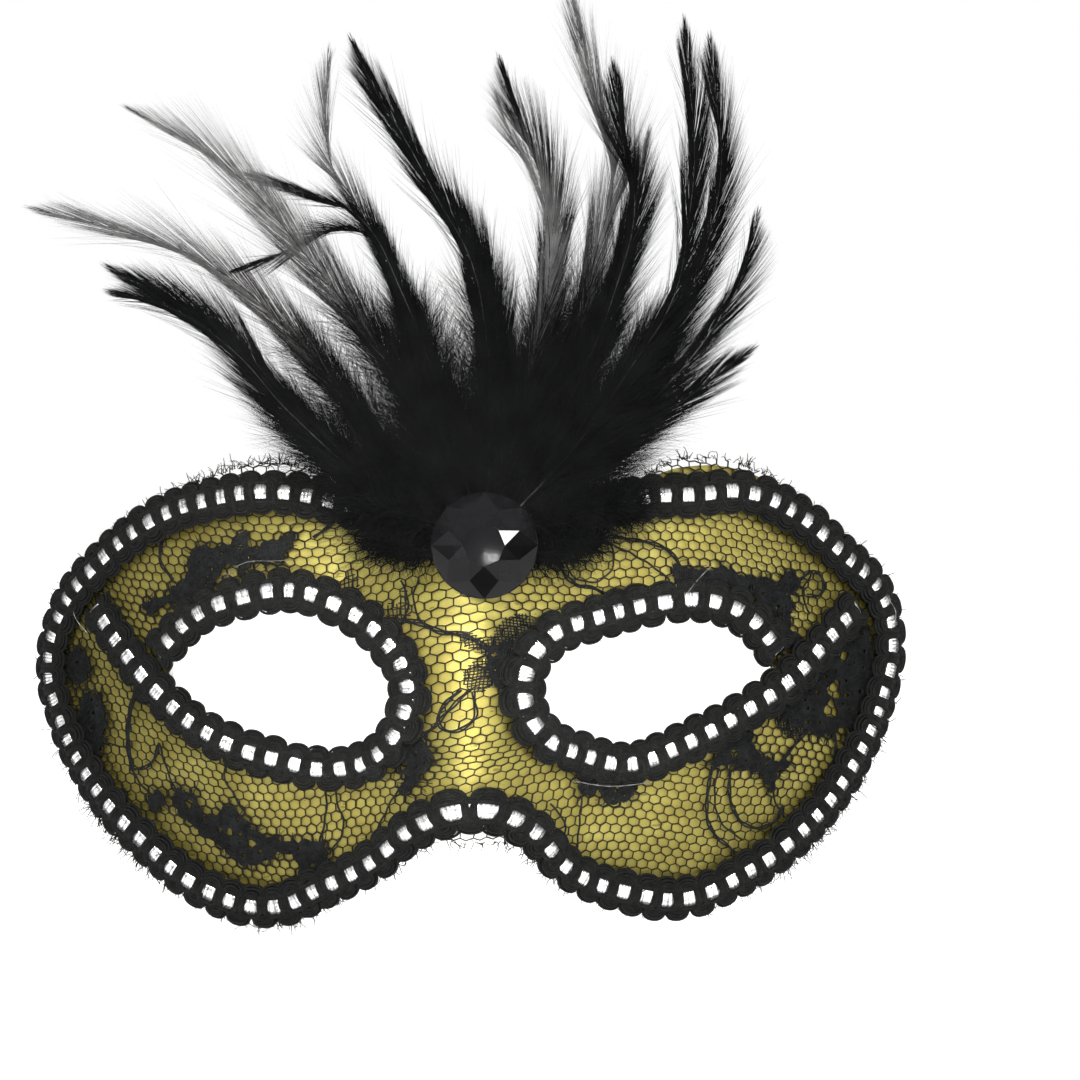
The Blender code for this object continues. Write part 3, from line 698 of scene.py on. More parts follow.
def felt_finish():
    made = thread_finish("black_felt", (0.006, 0.006, 0.006), (0.03, 0.03, 0.03), 0.9)
    return made.bump(made.noise(3.0, 6), 0.25).made


def plume_finish(name, dark, light, gloss):
    made = Finish(name, Roughness=0.5, Specular_IOR_Level=gloss)
    made.paint(made.noise(0.22, 4), (0.3, dark), (0.7, light))
    return made.roughen(made.noise(1.0, 2), 0.4, 0.6).made


def quill_finish():
    made = Finish("quill", Roughness=0.45, Specular_IOR_Level=0.15)
    made.paint(made.noise(0.06, 3), (0.42, (0.008, 0.008, 0.0075)), (0.62, (0.07, 0.068, 0.06)))
    return made.bump(made.noise(1.5, 4, (1, 1, 0.2)), 0.03).made


def patch_finish():
    made = thread_finish("patch_cloth", (0.012, 0.012, 0.014), (0.05, 0.05, 0.055), 0.85)
    return made.bump(made.weave("MULTIPLY", 1.6, 0.3), 0.18).made


def glue_finish():
    made = Finish("clear_glue", Roughness=0.2, Transmission_Weight=0.35)
    made.paint(made.noise(0.8, 3), (0.3, (0.1, 0.1, 0.095)), (0.7, (0.28, 0.28, 0.27)))
    return made.bump(made.noise(2.0, 2), 0.03).made


NET_THREAD, LACE_THREAD, BLACK_YARN, SILVER = net_finish(), motif_finish(), yarn_finish(), silver_finish()
BLACK_PLUME = plume_finish("black_plumage", (0.0008, 0.0009, 0.0009), (0.0035, 0.0038, 0.0037), 0.025)
GREY_PLUME = plume_finish("grey_plumage", (0.03, 0.03, 0.03), (0.11, 0.11, 0.108), 0.12)
QUILL = quill_finish()


# ---------------------------------------------------------------- cloth and shell

def overhang(points):
    """Where the layers reach further past the braid: at the left brow, the right brow and the nose notch."""
    u, v = points[:, 0], points[:, 1]
    return bell(u, -42, 11) * (v > 20), bell(u, 45, 10) * (v > 20), bell(u, 1, 7) * (v < 0) * (v > -30)


def edge_line(reach):
    """The outline of a layer that reaches this far past the braid's line."""
    return smooth_line(moved_out(edge_points, reach), True, 12)


edge_points = np.array(OUTER_LINE + (BROW_DIP,), float)
at_left, at_right, at_notch = overhang(edge_points)
shell_edge = edge_line(EDGE_PAST_BRAID_LINE + 2.6 * at_notch)
satin_edge = edge_line(EDGE_PAST_BRAID_LINE + 0.9 * at_left + 3.2 * at_right)
lace_edge = edge_line(EDGE_PAST_BRAID_LINE + 3.2 * at_left + 4.6 * at_right + 3.4 * at_notch)
eye_loops = [np.array(line[EYE_LOOP_START:], float) for line in (LEFT_EYE_LINE, RIGHT_EYE_LINE)]
eye_holes = [smooth_line(moved_out(loop, -EYE_EDGE), True, 12) for loop in eye_loops]
satin_holes = [smooth_line(moved_out(loop, -EYE_EDGE - SATIN_BACK_FROM_EYE), True, 12) for loop in eye_loops]


def ripple(points, seed, amount, reach):
    """Gentle unevenness of a stretched cloth."""
    draw = np.random.default_rng(seed)
    total = np.zeros(len(points))
    for _ in range(7):
        wave = draw.normal(0, 1 / reach, 2)
        total += np.sin(points @ wave + draw.uniform(0, math.tau))
    return amount * total / 3


def build_shell():
    shape = Shape()
    add_layer(shape, shell_edge, eye_holes, SHELL_GRID, SHELL_BACK, SHELL_FRONT)
    piece("shell", shape, [plastic_finish()], "moulded_plastic", "base_shell")


def creases(points):
    return ripple(points, SEED, 0.10, 6.0) + ripple(points, SEED + 1, 0.16, 14.0)


def build_satin():
    shape = Shape()
    add_layer(shape, satin_edge, satin_holes, SATIN_GRID, None, SATIN_HEIGHT, creases)
    satin = piece("satin_sheet", shape, [satin_finish()], "gold_satin", "satin_cover")


# ---------------------------------------------------------------- lace

def net_warp(a, b):
    """Where a point of the even net lies once the lace is stretched over the face."""
    squeeze = 3.4 * np.exp(-(((a - 6) / 24) ** 2) - ((b + 13) / 10) ** 2) * (b + 13) / 10
    spread = 1.6 * np.exp(-((a / 14) ** 2) - ((b - 9) / 12) ** 2) * a / 9
    u = a + 1.1 * np.sin(b / 15 + 1.3) + 0.9 * np.sin(a / 21 + b / 27) + 0.14 * b * np.sin(a / 40) + spread
    v = b + 1.2 * np.sin(a / 19 + 0.7) + 0.7 * np.sin(a / 7 + b / 11) - squeeze + 0.05 * a * np.cos(a / 37)
    return u, v


def add_motif(shape, outline, holes, lean, draw):
    """A worked part of the lace, with a corded edge. It gives the motif's real edge and holes."""
    edge = ragged(smooth_line(outline, True, 8), draw, 0.22)
    holes = pierced(edge, holes, draw)
    turns = np.linspace(0, math.tau, 14, endpoint=False)
    rings = []
    for u, v, radius in holes:
        reach = radius * (1 + 0.22 * np.sin(3 * turns + u) + 0.12 * np.sin(5 * turns + v))
        rings.append(around((u, v), reach, turns))
    add_layer(shape, edge, rings, MOTIF_GRID, MOTIF_BACK, MOTIF_FRONT,
              lambda points: ripple(points, 5, 0.12, 1.2), 1)
    for ring in [edge, *rings]:
        add_threads(shape, spaced(ring, 0.5, True), MOTIF_FRONT, RIM_RADIUS, 6, 0.9, 1, True)
    add_woven(shape, edge, draw, (0.46, 0.95), lean, holes, MOTIF_FRONT)
    add_strays(shape, edge, draw)
    return edge, holes


def net_sides(draw):
    """The two ends (number, 2, 2) of each side of the net's hexagons, over more than the whole mask."""
    columns, rows = np.arange(-98, 98, NET_PITCH), np.arange(-50, 48, NET_ROW)
    points, sides = [], []
    for j, row in enumerate(rows):
        start = len(points)
        above = start + 2 * len(columns)
        for column in columns + (j % 2) * NET_PITCH / 2:
            points += [(column, row + 0.26 * NET_ROW), (column + NET_PITCH / 2, row - 0.02 * NET_ROW)]
        sides += [(start + i, start + i + 1) for i in range(2 * len(columns) - 1)]
        if j + 1 < len(rows):
            # Each high corner joins a low corner of the row above
            tops = [above + 2 * i + (1 if j % 2 else -1) for i in range(len(columns))]
            sides += [(start + 2 * i, top) for i, top in enumerate(tops) if top >= above]
    points = np.array(points, float)
    points += draw.normal(0, 0.06, points.shape)
    sides = np.stack(net_warp(points[:, 0], points[:, 1]), 1)[np.array(sides)]
    return sides[np.linalg.norm(sides[:, 0] - sides[:, 1], axis=1) < LONGEST_SIDE]


def build_lace():
    shape = Shape()
    draw = np.random.default_rng(SEED + 10)
    motifs = [add_motif(shape, outline, holes, 0.7 * math.sin(2.3 * number) + 0.3, draw)
              for number, (outline, holes) in enumerate(MOTIFS)]
    sides = net_sides(draw)
    middles = sides.mean(1)
    keep = inside(middles, lace_edge)
    for hole in eye_holes:
        keep &= ~inside(middles, hole)
    for edge, holes in motifs:
        keep &= ~(inside(middles, edge) & clear_of(middles, holes, 0.6))
    a, b = sides[keep, 0], sides[keep, 1]
    reach = 0.06 * (b - a)
    ends = np.stack([a - reach, b + reach], 1)
    thick = NET_RADIUS * draw.uniform(0.82, 1.2, len(ends))
    # The net is worked more heavily round a motif
    for edge, _ in motifs:
        thick *= 1 + 0.85 * np.exp(-((nearest(middles[keep], edge) / 1.4) ** 2))
    add_threads(shape, ends, NET_HEIGHT, np.minimum(thick, HEAVIEST_THREAD)[:, None])
    for outline in WOVEN:
        add_woven(shape, smooth_line(outline, True, 8), draw)
    for outline in LADDERS:
        add_woven(shape, np.array(outline, float), draw, (0.85, 1.15), 0.15)
    for route, threads in VINES:
        add_vine(shape, route, threads)
    lace = piece("lace_net", shape, [NET_THREAD, LACE_THREAD], "black_lace", "lace_overlay")


def add_woven(shape, outline, draw, gaps=(0.62, 0.55), lean=0.0, holes=(), height=NET_HEIGHT + 0.25):
    """Threads that cross inside the outline at this lean, and leave its holes open."""
    turn = np.array([[math.cos(lean), -math.sin(lean)], [math.sin(lean), math.cos(lean)]])
    turned = outline @ turn
    low, high = turned.min(0), turned.max(0)
    for axis, gap in enumerate(gaps):
        rows = np.arange(low[axis], high[axis], gap)
        along = np.arange(low[1 - axis], high[1 - axis] + 0.7, 0.7)
        grid = np.zeros((len(rows), len(along), 2))
        uneven = draw.normal(0, 0.05, (len(rows), len(along)))
        grid[..., axis] = rows[:, None] + uneven + 0.5 * np.sin(along / 3.1)
        grid[..., 1 - axis] = along
        grid = grid @ turn.T
        pairs = np.stack([grid[:, :-1], grid[:, 1:]], 2).reshape(-1, 2, 2)
        middles = pairs.mean(1)
        pairs = pairs[inside(middles, outline) & clear_of(middles, holes, 0.1)]
        if len(pairs):
            add_threads(shape, pairs, height + 0.1 * axis, WOVEN_RADIUS, finish=1)


def ragged(outline, draw, amount):
    """The outline again, uneven at the scale of the lace's stitches."""
    line = spaced(outline, 0.4, True)
    count = len(line)
    turns = np.arange(count) * math.tau / count
    total = draw.normal(0, 0.35, count)
    for wavelength, share in ((1.2, 0.5), (2.0, 0.8), (3.2, 1.0), (5.5, 0.9)):
        cycles = max(2, round(count * 0.4 / wavelength))
        total += share * np.sin(cycles * turns + draw.uniform(0, math.tau))
    return moved_out(line, amount * total - 0.3)


def pierced(outline, holes, draw):
    """The holes of a motif: those given, and small ones between its stitches."""
    found = list(holes)
    for spot in draw.uniform(outline.min(0), outline.max(0), (round(enclosed(outline) * 1.5), 2)):
        radius = draw.uniform(0.25, 0.75)
        clear = all(math.dist(spot, (u, v)) > other + radius + 0.45 for u, v, other in found)
        if clear and inside(spot[None], outline)[0] and nearest(spot[None], outline)[0] > radius + 0.4:
            found.append((*spot, radius))
    return found


def add_strays(shape, outline, draw):
    """Short ends of thread that stand out from a motif's edge across the net."""
    line = spaced(outline, 0.5, True)
    out = moved_out(line, 1.0) - line
    count = len(line) // 3
    pick = draw.choice(len(line), count, replace=False)
    way = np.arctan2(out[pick, 1], out[pick, 0]) + draw.normal(0, 1.0, count)
    bend, length = draw.normal(0, 1.0, count), draw.uniform(0.6, 3.2, count)
    lines = wisps(line[pick] - 0.3 * out[pick], way, bend, length, 4)
    height = NET_HEIGHT + draw.uniform(0.05, 0.4, count)[:, None]
    add_threads(shape, lines, height, STRAY_RADIUS * np.linspace(1, 0.6, 4), finish=1)


def add_vine(shape, route, threads):
    """A heavy cord of one or more threads that lie side by side."""
    line = spaced(smooth_line(route, False, 10), 0.6)
    for index in range(threads):
        wander = 0.1 * np.sin(np.arange(len(line)) * 0.9 + index * 2.1)
        shift = (index - (threads - 1) / 2) * VINE_GAP + wander
        add_threads(shape, line + across(line) * shift[:, None], NET_HEIGHT + 0.3, VINE_RADIUS, 6, 0.9, 1)


# ---------------------------------------------------------------- braid

def build_braid(name, points, pitch, bare, seed):
    """A gimp braid: a bundle of strands that winds over a silver tape, which stops bare short of its ends."""
    draw = np.random.default_rng(seed)
    line = spaced(smooth_line(points, False, 24), LINE_STEP)
    sideways = across(line)
    reaches = LINE_STEP * np.arange(len(line))
    length = reaches[-1]

    def beside(place, offset):
        """The pattern points at this place along the braid's line and this far to its side."""
        place = np.clip(place, 0, length)
        spot, aside = (np.stack([np.interp(place, reaches, values[:, i]) for i in range(2)], -1)
                       for values in (line, sideways))
        return spot + unit(aside) * np.asarray(offset)[..., None]

    repeats = round(length / pitch)
    knots = np.cumsum(1 + 0.10 * draw.normal(0, 1, repeats + 1).clip(-1.5, 1.5))
    knots = (knots - knots[0]) / (knots[-1] - knots[0]) * length
    pitches = np.diff(knots)
    half = smooth_line(WINDING, False, 3)
    turn = np.vstack([half[:-1], (half * (-1, 1) + (1, 0))[:0:-1]])
    place = np.append((knots[:-1, None] + pitches[:, None] * turn[:, 0]).ravel(), length)
    swing = np.append(np.tile(turn[:, 1], repeats), 1.0)
    steps = np.arange(len(place)) / len(turn)
    uneven = 1 + 0.05 * draw.normal(0, 1, repeats + 1).clip(-1.5, 0.8)
    offset = BRAID_REACH * swing * np.interp(steps, np.arange(repeats + 1), uneven)
    path = beside(place, offset)
    aside = across(path)
    # The strands lie close where the bundle crosses the tape, and fan out round each lobe
    fan = np.clip((np.abs(swing) - 0.45) / 0.5, 0, 1)
    fan = fan * fan * (3 - 2 * fan)
    narrow = 0.084 * pitch
    bundle = narrow + (LOBE_HALF - narrow) * fan
    rise = LOBE_HEIGHT + 1.45 * np.exp(-((offset / 1.9) ** 2))
    shape = Shape()
    for strand in range(STRANDS):
        share = 2 * strand / (STRANDS - 1) - 1
        wobble = 0.05 * np.sin(steps * 5.3 + strand * 1.7)
        height = rise + (0.2 + 0.45 * fan) * (1 - share * share) + 0.1 * (strand % 2)
        height = height + 0.05 * np.sin(steps * 9.1 + strand)
        add_threads(shape, path + aside * (share * bundle + wobble)[:, None], height, STRAND_RADIUS, 6)
    # What fills each lobe under its strands
    reach = np.linspace(-1, 1, 7)
    for starts, way in ((knots, 1), (knots[:-1] + pitches / 2, -1)):
        spot = beside(starts[:, None] + 0.44 * pitch * reach, way * LOBE_FILL_SHIFT)
        add_threads(shape, spot, LOBE_FILL_HEIGHT, LOBE_FILL_RADIUS * np.sqrt(1.02 - reach**2), 8, 0.4)
    for shift, height, radius, flat in GROUND_CORDS:
        add_threads(shape, beside(np.arange(0, length, 0.7), shift), height, radius, 6, flat)
    add_fuzz(shape, path, rise, draw)
    piece(name + "_braid_cord", shape, [BLACK_YARN], "black_yarn", name + "_braid")
    tape = Shape()
    core = np.arange(bare, length - bare, 0.15)
    fold = 0.07 * np.abs(np.sin(math.pi * core / TAPE_FOLD + 0.5 * np.sin(core / 5)))
    spot = beside(core, np.interp(core, knots, 0.10 * draw.normal(0, 1, len(knots))))
    add_threads(tape, spot, TAPE_HEIGHT - TAPE_SINK + fold, TAPE_HALF, 6, 0.13)
    piece(name + "_braid_tape", tape, [SILVER], "silver_foil", name + "_silver_tape")


def wisps(starts, way, bend, length, points):
    """Lines (count, points, 2) that leave starts at the angle way and turn by bend over their length."""
    turn = way[:, None] + bend[:, None] * np.linspace(0, 1, points)
    step = length[:, None] / (points - 1)
    moves = np.stack([np.cos(turn[:, :-1]) * step, np.sin(turn[:, :-1]) * step], -1)
    return starts[:, None] + np.concatenate([np.zeros((len(starts), 1, 2)), np.cumsum(moves, 1)], 1)


def add_fuzz(shape, path, rise, draw):
    """Fine loose fibres that stand off the yarn."""
    count = len(path)
    pick = draw.integers(0, len(path), count)
    way = draw.uniform(0, math.tau, count)
    starts = path[pick] + 1.1 * np.stack([np.cos(way), np.sin(way)], 1)
    lines = wisps(starts, way, draw.normal(0, 0.8, count), draw.uniform(0.4, 1.5, count), 4)
    share = np.linspace(0, 1, 4)[None, :]
    height = rise[pick][:, None] + draw.uniform(-0.5, 0.2, count)[:, None]
    height = height + share * draw.normal(0, 0.3, count)[:, None]
    paths = on_face(lines[..., 0], lines[..., 1], height)
    side = unit(np.cross(np.gradient(paths, axis=1), outward(lines[..., 0], lines[..., 1])))
    add_strips(shape, paths, FUZZ_HALF * (1 - 0.7 * share), side)


def build_fraying():
    """Loose ends of net and cloth round the outer edge."""
    draw = np.random.default_rng(SEED + 30)
    shape = Shape()
    line = spaced(lace_edge, 0.25, True)
    out = moved_out(line, 1.0) - line
    u, v = line[:, 0], line[:, 1]
    # More of them at the temples, the left brow and the left corner, and none behind the plume
    thick = 0.25 + 1.3 * bell(u, -72, 14) * (v < 5) + 1.2 * bell(u, 72, 14) * (v < 5)
    thick += 0.25 * bell(u, -40, 18) * (v > 20) + 0.6 * bell(u, -35, 12) * (v < -30)
    thick *= ~((np.abs(u - 3) < 22) & (v > 20))
    count = FRAY_COUNT
    pick = draw.choice(len(line), count, p=thick / thick.sum())
    length = draw.uniform(0.8, 3.7, count) * np.minimum(1.2, 0.6 + 0.4 * thick[pick])
    way = np.arctan2(out[pick, 1], out[pick, 0]) + draw.normal(0, 0.8, count)
    lines = wisps(line[pick], way, draw.normal(0, 1.5, count), length, 5)
    share = np.linspace(0, 1, 5)
    height = 2.2 + draw.normal(0, 0.3, count)[:, None] + share * draw.normal(0, 0.9, count)[:, None]
    add_threads(shape, lines, height, FRAY_RADIUS * (1 - 0.4 * share))
    piece("frayed_threads", shape, [NET_THREAD], "black_lace")


# Strings of dried glue: points (u, v, height)
GLUE_STRINGS = (
    ((-83, 14.5, 3.5), (-80, 12, 5.5), (-78, 9.5, 4.5)),
    ((-47, 16.5, 4.5), (-47, 20.5, 3.4), (-44, 23, 3.2), (-37, 23.6, 3.0), (-34, 23.8, 3.0)),
    ((85, 16, 5.5), (87, 13, 5.5), (86, 10, 5.2)),
    ((40.7, 17.5, 4.9), (43, 20, 4.2), (46, 22.6, 3.2)),
    ((18, -17.5, 4.6), (26, -18.6, 4.4), (34, -18, 4.2)),
)


def build_glue():
    shape = Shape()
    for route in GLUE_STRINGS:
        line = spaced(smooth_line(route, False, 8), 0.4)
        radius = 0.06 + 0.02 * np.sin(np.arange(len(line)) * 1.1)
        add_threads(shape, line[:, :2], line[:, 2], radius, 6)
    piece("glue_strings", shape, [glue_finish()], "moulded_plastic")


# ---------------------------------------------------------------- gem, pad and patches

def build_gem():
    """A flat-backed gem with a table, stars, kites and girdle facets."""
    table, middle, rim, top, mid, girdle = 3.9, 7.1, 10.0, 6.0, 6.0 - STAR_DROP, 1.2
    points, faces = [], []

    def put(radius, degrees, height):
        angle = math.radians(degrees)
        points.append((GEM_CENTRE[0] + radius * math.cos(angle), GEM_BACK - height,
                       GEM_CENTRE[1] + radius * math.sin(angle)))
        return len(points) - 1

    arc = 6
    tables = [put(table, 45 * k, top) for k in range(8)]
    middles = [put(middle, 45 * k + 22.5, mid) for k in range(8)]
    rims = [put(rim, 22.5 / arc * k, girdle) for k in range(16 * arc)]
    backs = [put(rim, 22.5 / arc * k, 0) for k in range(16 * arc)]
    faces.append(tables)
    # Facets that look deep black, as those do whose light leaves through the back: painted shade, given a
    # darker and less glossy copy of the jet
    dark = {2, 26, 29}
    for k in range(8):
        faces.append([tables[k], middles[k], tables[(k + 1) % 8]])
        faces.append([tables[k], middles[k - 1], rims[2 * arc * k], middles[k]])
        low, half, high = 2 * arc * k, 2 * arc * k + arc, 2 * arc * (k + 1)
        faces.append([middles[k], *[rims[i % (16 * arc)] for i in range(low, half + 1)]])
        faces.append([middles[k], *[rims[i % (16 * arc)] for i in range(half, high + 1)]])
    for i in range(16 * arc):
        j = (i + 1) % (16 * arc)
        faces.append([rims[i], backs[i], backs[j], rims[j]])
    faces.append(backs[::-1])
    mesh = bpy.data.meshes.new("faceted_gem")
    mesh.from_pydata([tuple(c * MM for c in p) for p in points], [], faces)
    mesh.update()
    for face in mesh.polygons:
        face.material_index = 1 if face.index in dark else 0
    # The second finish is painted shade: the same jet, darker and with less reflection, for the facets listed
    # above
    finishes = [gem_finish("jet_acrylic", 0.1, (0.002, 0.002, 0.0022), (0.0045, 0.0045, 0.005)),
                gem_finish("jet_acrylic_painted_shade", 0.02, (0.001, 0.001, 0.001), (0.002, 0.002, 0.002))]
    piece("faceted_gem", mesh, finishes, "jet_acrylic", "gem")


def add_plug(shape):
    """The felt and glue between the pad and the gem's back, where the quills end."""
    draw = np.random.default_rng(SEED + 45)
    sides = 48
    turns = np.linspace(0, math.tau, sides, endpoint=False)
    loops = []
    for radius, depth in PLUG_RINGS:
        x, z = around(GEM_CENTRE, radius + draw.normal(0, 0.12, sides), turns).T
        # It goes no deeper than the pad
        loops.append(np.stack([x, np.minimum(depth, form(x, z) - PLUG_BACK), z], 1))
    here = np.arange(sides)
    after, total = np.roll(here, -1), sides * len(PLUG_RINGS)
    band = np.stack([here, after, after + sides, here + sides], 1)
    shape.add(np.vstack(loops), np.vstack([band + sides * k for k in range(len(PLUG_RINGS) - 1)]))
    front, middle = total - sides, np.zeros(sides, int)
    shape.add(np.array([[GEM_CENTRE[0], PLUG_RINGS[-1][1], GEM_CENTRE[1]]]),
              np.stack([here + front - total, after + front - total, middle], 1))
    shape.add(np.array([[GEM_CENTRE[0], form(*GEM_CENTRE) - PLUG_BACK, GEM_CENTRE[1]]]),
              np.stack([after - total - 1, here - total - 1, middle], 1))


def build_pad():
    disc = around(GEM_CENTRE, PAD_RADIUS, np.linspace(0, math.tau, 48, endpoint=False))
    shape = Shape()
    add_layer(shape, disc, [], PAD_GRID, PAD_BACK, PAD_FRONT, lambda points: ripple(points, 3, 0.06, 1.0))
    add_plug(shape)
    piece("plume_pad_felt", shape, [felt_finish()], "black_felt", "plume_pad")


def build_patch(name, side, finish, node):
    """A woven patch inside the temple, with turned and stitched edges."""
    x, z = side * PATCH_X, PATCH_Z
    slope = math.atan((form(x + 1, z) - form(x - 1, z)) / 2)
    right = np.array([math.cos(slope), math.sin(slope), 0])
    inward = np.array([-math.sin(slope), math.cos(slope), 0])
    middle = np.array([x, form(x, z), z]) + 0.5 * inward
    columns, rows = np.linspace(-PATCH_S, PATCH_S, 41), np.linspace(-PATCH_T, PATCH_T, 57)
    s, t = np.meshgrid(columns, rows)
    # The corners are round: what lies past the stitches is pulled back to a quarter circle
    corner = np.maximum(np.abs(s) - STITCH_S, 0) ** 2 + np.maximum(np.abs(t) - STITCH_T, 0) ** 2
    pull = np.where(corner > 0.64, 0.8 / np.sqrt(np.maximum(corner, 1e-9)), 1)
    s, t = (np.sign(a) * (np.minimum(np.abs(a), limit) + np.maximum(np.abs(a) - limit, 0) * pull)
            for a, limit in ((s, STITCH_S), (t, STITCH_T)))

    def placed(s, t, height):
        return middle + s[..., None] * right + t[..., None] * np.array([0, 0, 1]) + height[..., None] * inward

    edge = np.minimum(PATCH_S - np.abs(s), PATCH_T - np.abs(t))
    crown = 0.6 - 0.25 * np.exp(-edge / 0.25) + 0.03 * np.sin(s * 6.3) * np.sin(t * 6.3)
    shape = Shape()
    count, n = s.size, len(columns)
    i, j = np.meshgrid(np.arange(len(rows) - 1), np.arange(n - 1), indexing="ij")
    quads = np.stack([i * n + j, (i + 1) * n + j, (i + 1) * n + j + 1, i * n + j + 1], -1).reshape(-1, 4)
    flat = np.stack([s.ravel(), t.ravel()], 1)
    layers = [placed(s, t, height).reshape(-1, 3) for height in (crown, np.zeros_like(crown))]
    shape.add(np.vstack(layers), quads, flat[quads])
    shape.add(NO_POINTS, quads[:, ::-1] - count, flat[quads[:, ::-1]])
    last = (len(rows) - 1) * n
    rim = np.concatenate([np.arange(n), np.arange(1, len(rows)) * n + n - 1,
                          last + np.arange(n - 2, -1, -1), np.arange(len(rows) - 2, 0, -1) * n])
    ahead = np.roll(rim, -1)
    walls = np.stack([rim, ahead, ahead + count, rim + count], -1)
    shape.add(NO_POINTS, walls - 2 * count, flat[walls % count])
    corners = ((-STITCH_S, -STITCH_T), (STITCH_S, -STITCH_T), (STITCH_S, STITCH_T), (-STITCH_S, STITCH_T))
    for (s0, t0), (s1, t1) in zip(corners, corners[1:] + corners[:1]):
        number = round(math.hypot(s1 - s0, t1 - t0) / STITCH_PITCH)
        starts = np.arange(number) / number
        ends = starts + 0.6 / number
        spots = np.stack([starts, (starts + ends) / 2, ends], 1)
        places = placed(s0 + spots * (s1 - s0), t0 + spots * (t1 - t0), np.array([0.52, 0.66, 0.52]))
        add_tubes(shape, places, 0.11, inward, 6, 1.0, 1)
    piece(name, shape, [finish, BLACK_YARN], "patch_cloth", node)


# ---------------------------------------------------------------- feathers

def plume_depth(slab, x, z):
    """How far back a feather of this slab lies at (x, z)."""
    lean = PLUME_SPREAD * (1 - 2 * slab / (PLUME_SLABS - 1))
    away = np.hypot(x - GEM_CENTRE[0], z - GEM_CENTRE[1])
    return PLUME_BACK - slab * SLAB_PITCH + lean * (away / PLUME_REACH) ** 1.5


def add_barbs(shape, slab, starts, heading, length, width, curl, draw, points, finish, loose, deep=0.0):
    """Fibres that leave starts (n, 2) at the angle heading, each of its own length, curling on the way. They
    drift by loose of their length out of the feather's plane, and start up to deep behind it."""
    count = len(starts)
    share = np.linspace(0, 1, points)
    x, z = np.moveaxis(wisps(starts, heading, curl, length, points), -1, 0)
    drift = draw.normal(0, loose, count).clip(-1.5 * loose, 1.5 * loose)
    drift = drift[:, None] * length[:, None] * share**1.3
    drift += draw.uniform(0, deep, count)[:, None]
    y = plume_depth(slab, x, z) + drift + draw.normal(0, 0.12, count)[:, None]
    roll = draw.normal(0, 0.5, count)[:, None]
    turn = heading[:, None] + curl[:, None] * share
    side = np.stack([-np.sin(turn) * np.cos(roll), np.sin(roll) * np.ones_like(turn),
                     np.cos(turn) * np.cos(roll)], -1)
    add_strips(shape, np.stack([x, y, z], -1), width * (1 - share**2 * 0.9), side, finish)


def add_quill(shape, slab, line, radius, rise=0.0, finish=0):
    """The quill along a feather's line, this far in front of its fibres."""
    depth = plume_depth(slab, line[:, 0], line[:, 1]) - rise
    path = np.stack([line[:, 0], depth, line[:, 1]], 1)[None]
    add_tubes(shape, path, radius, np.array([0, -1.0, 0]), 6, 0.8, finish)


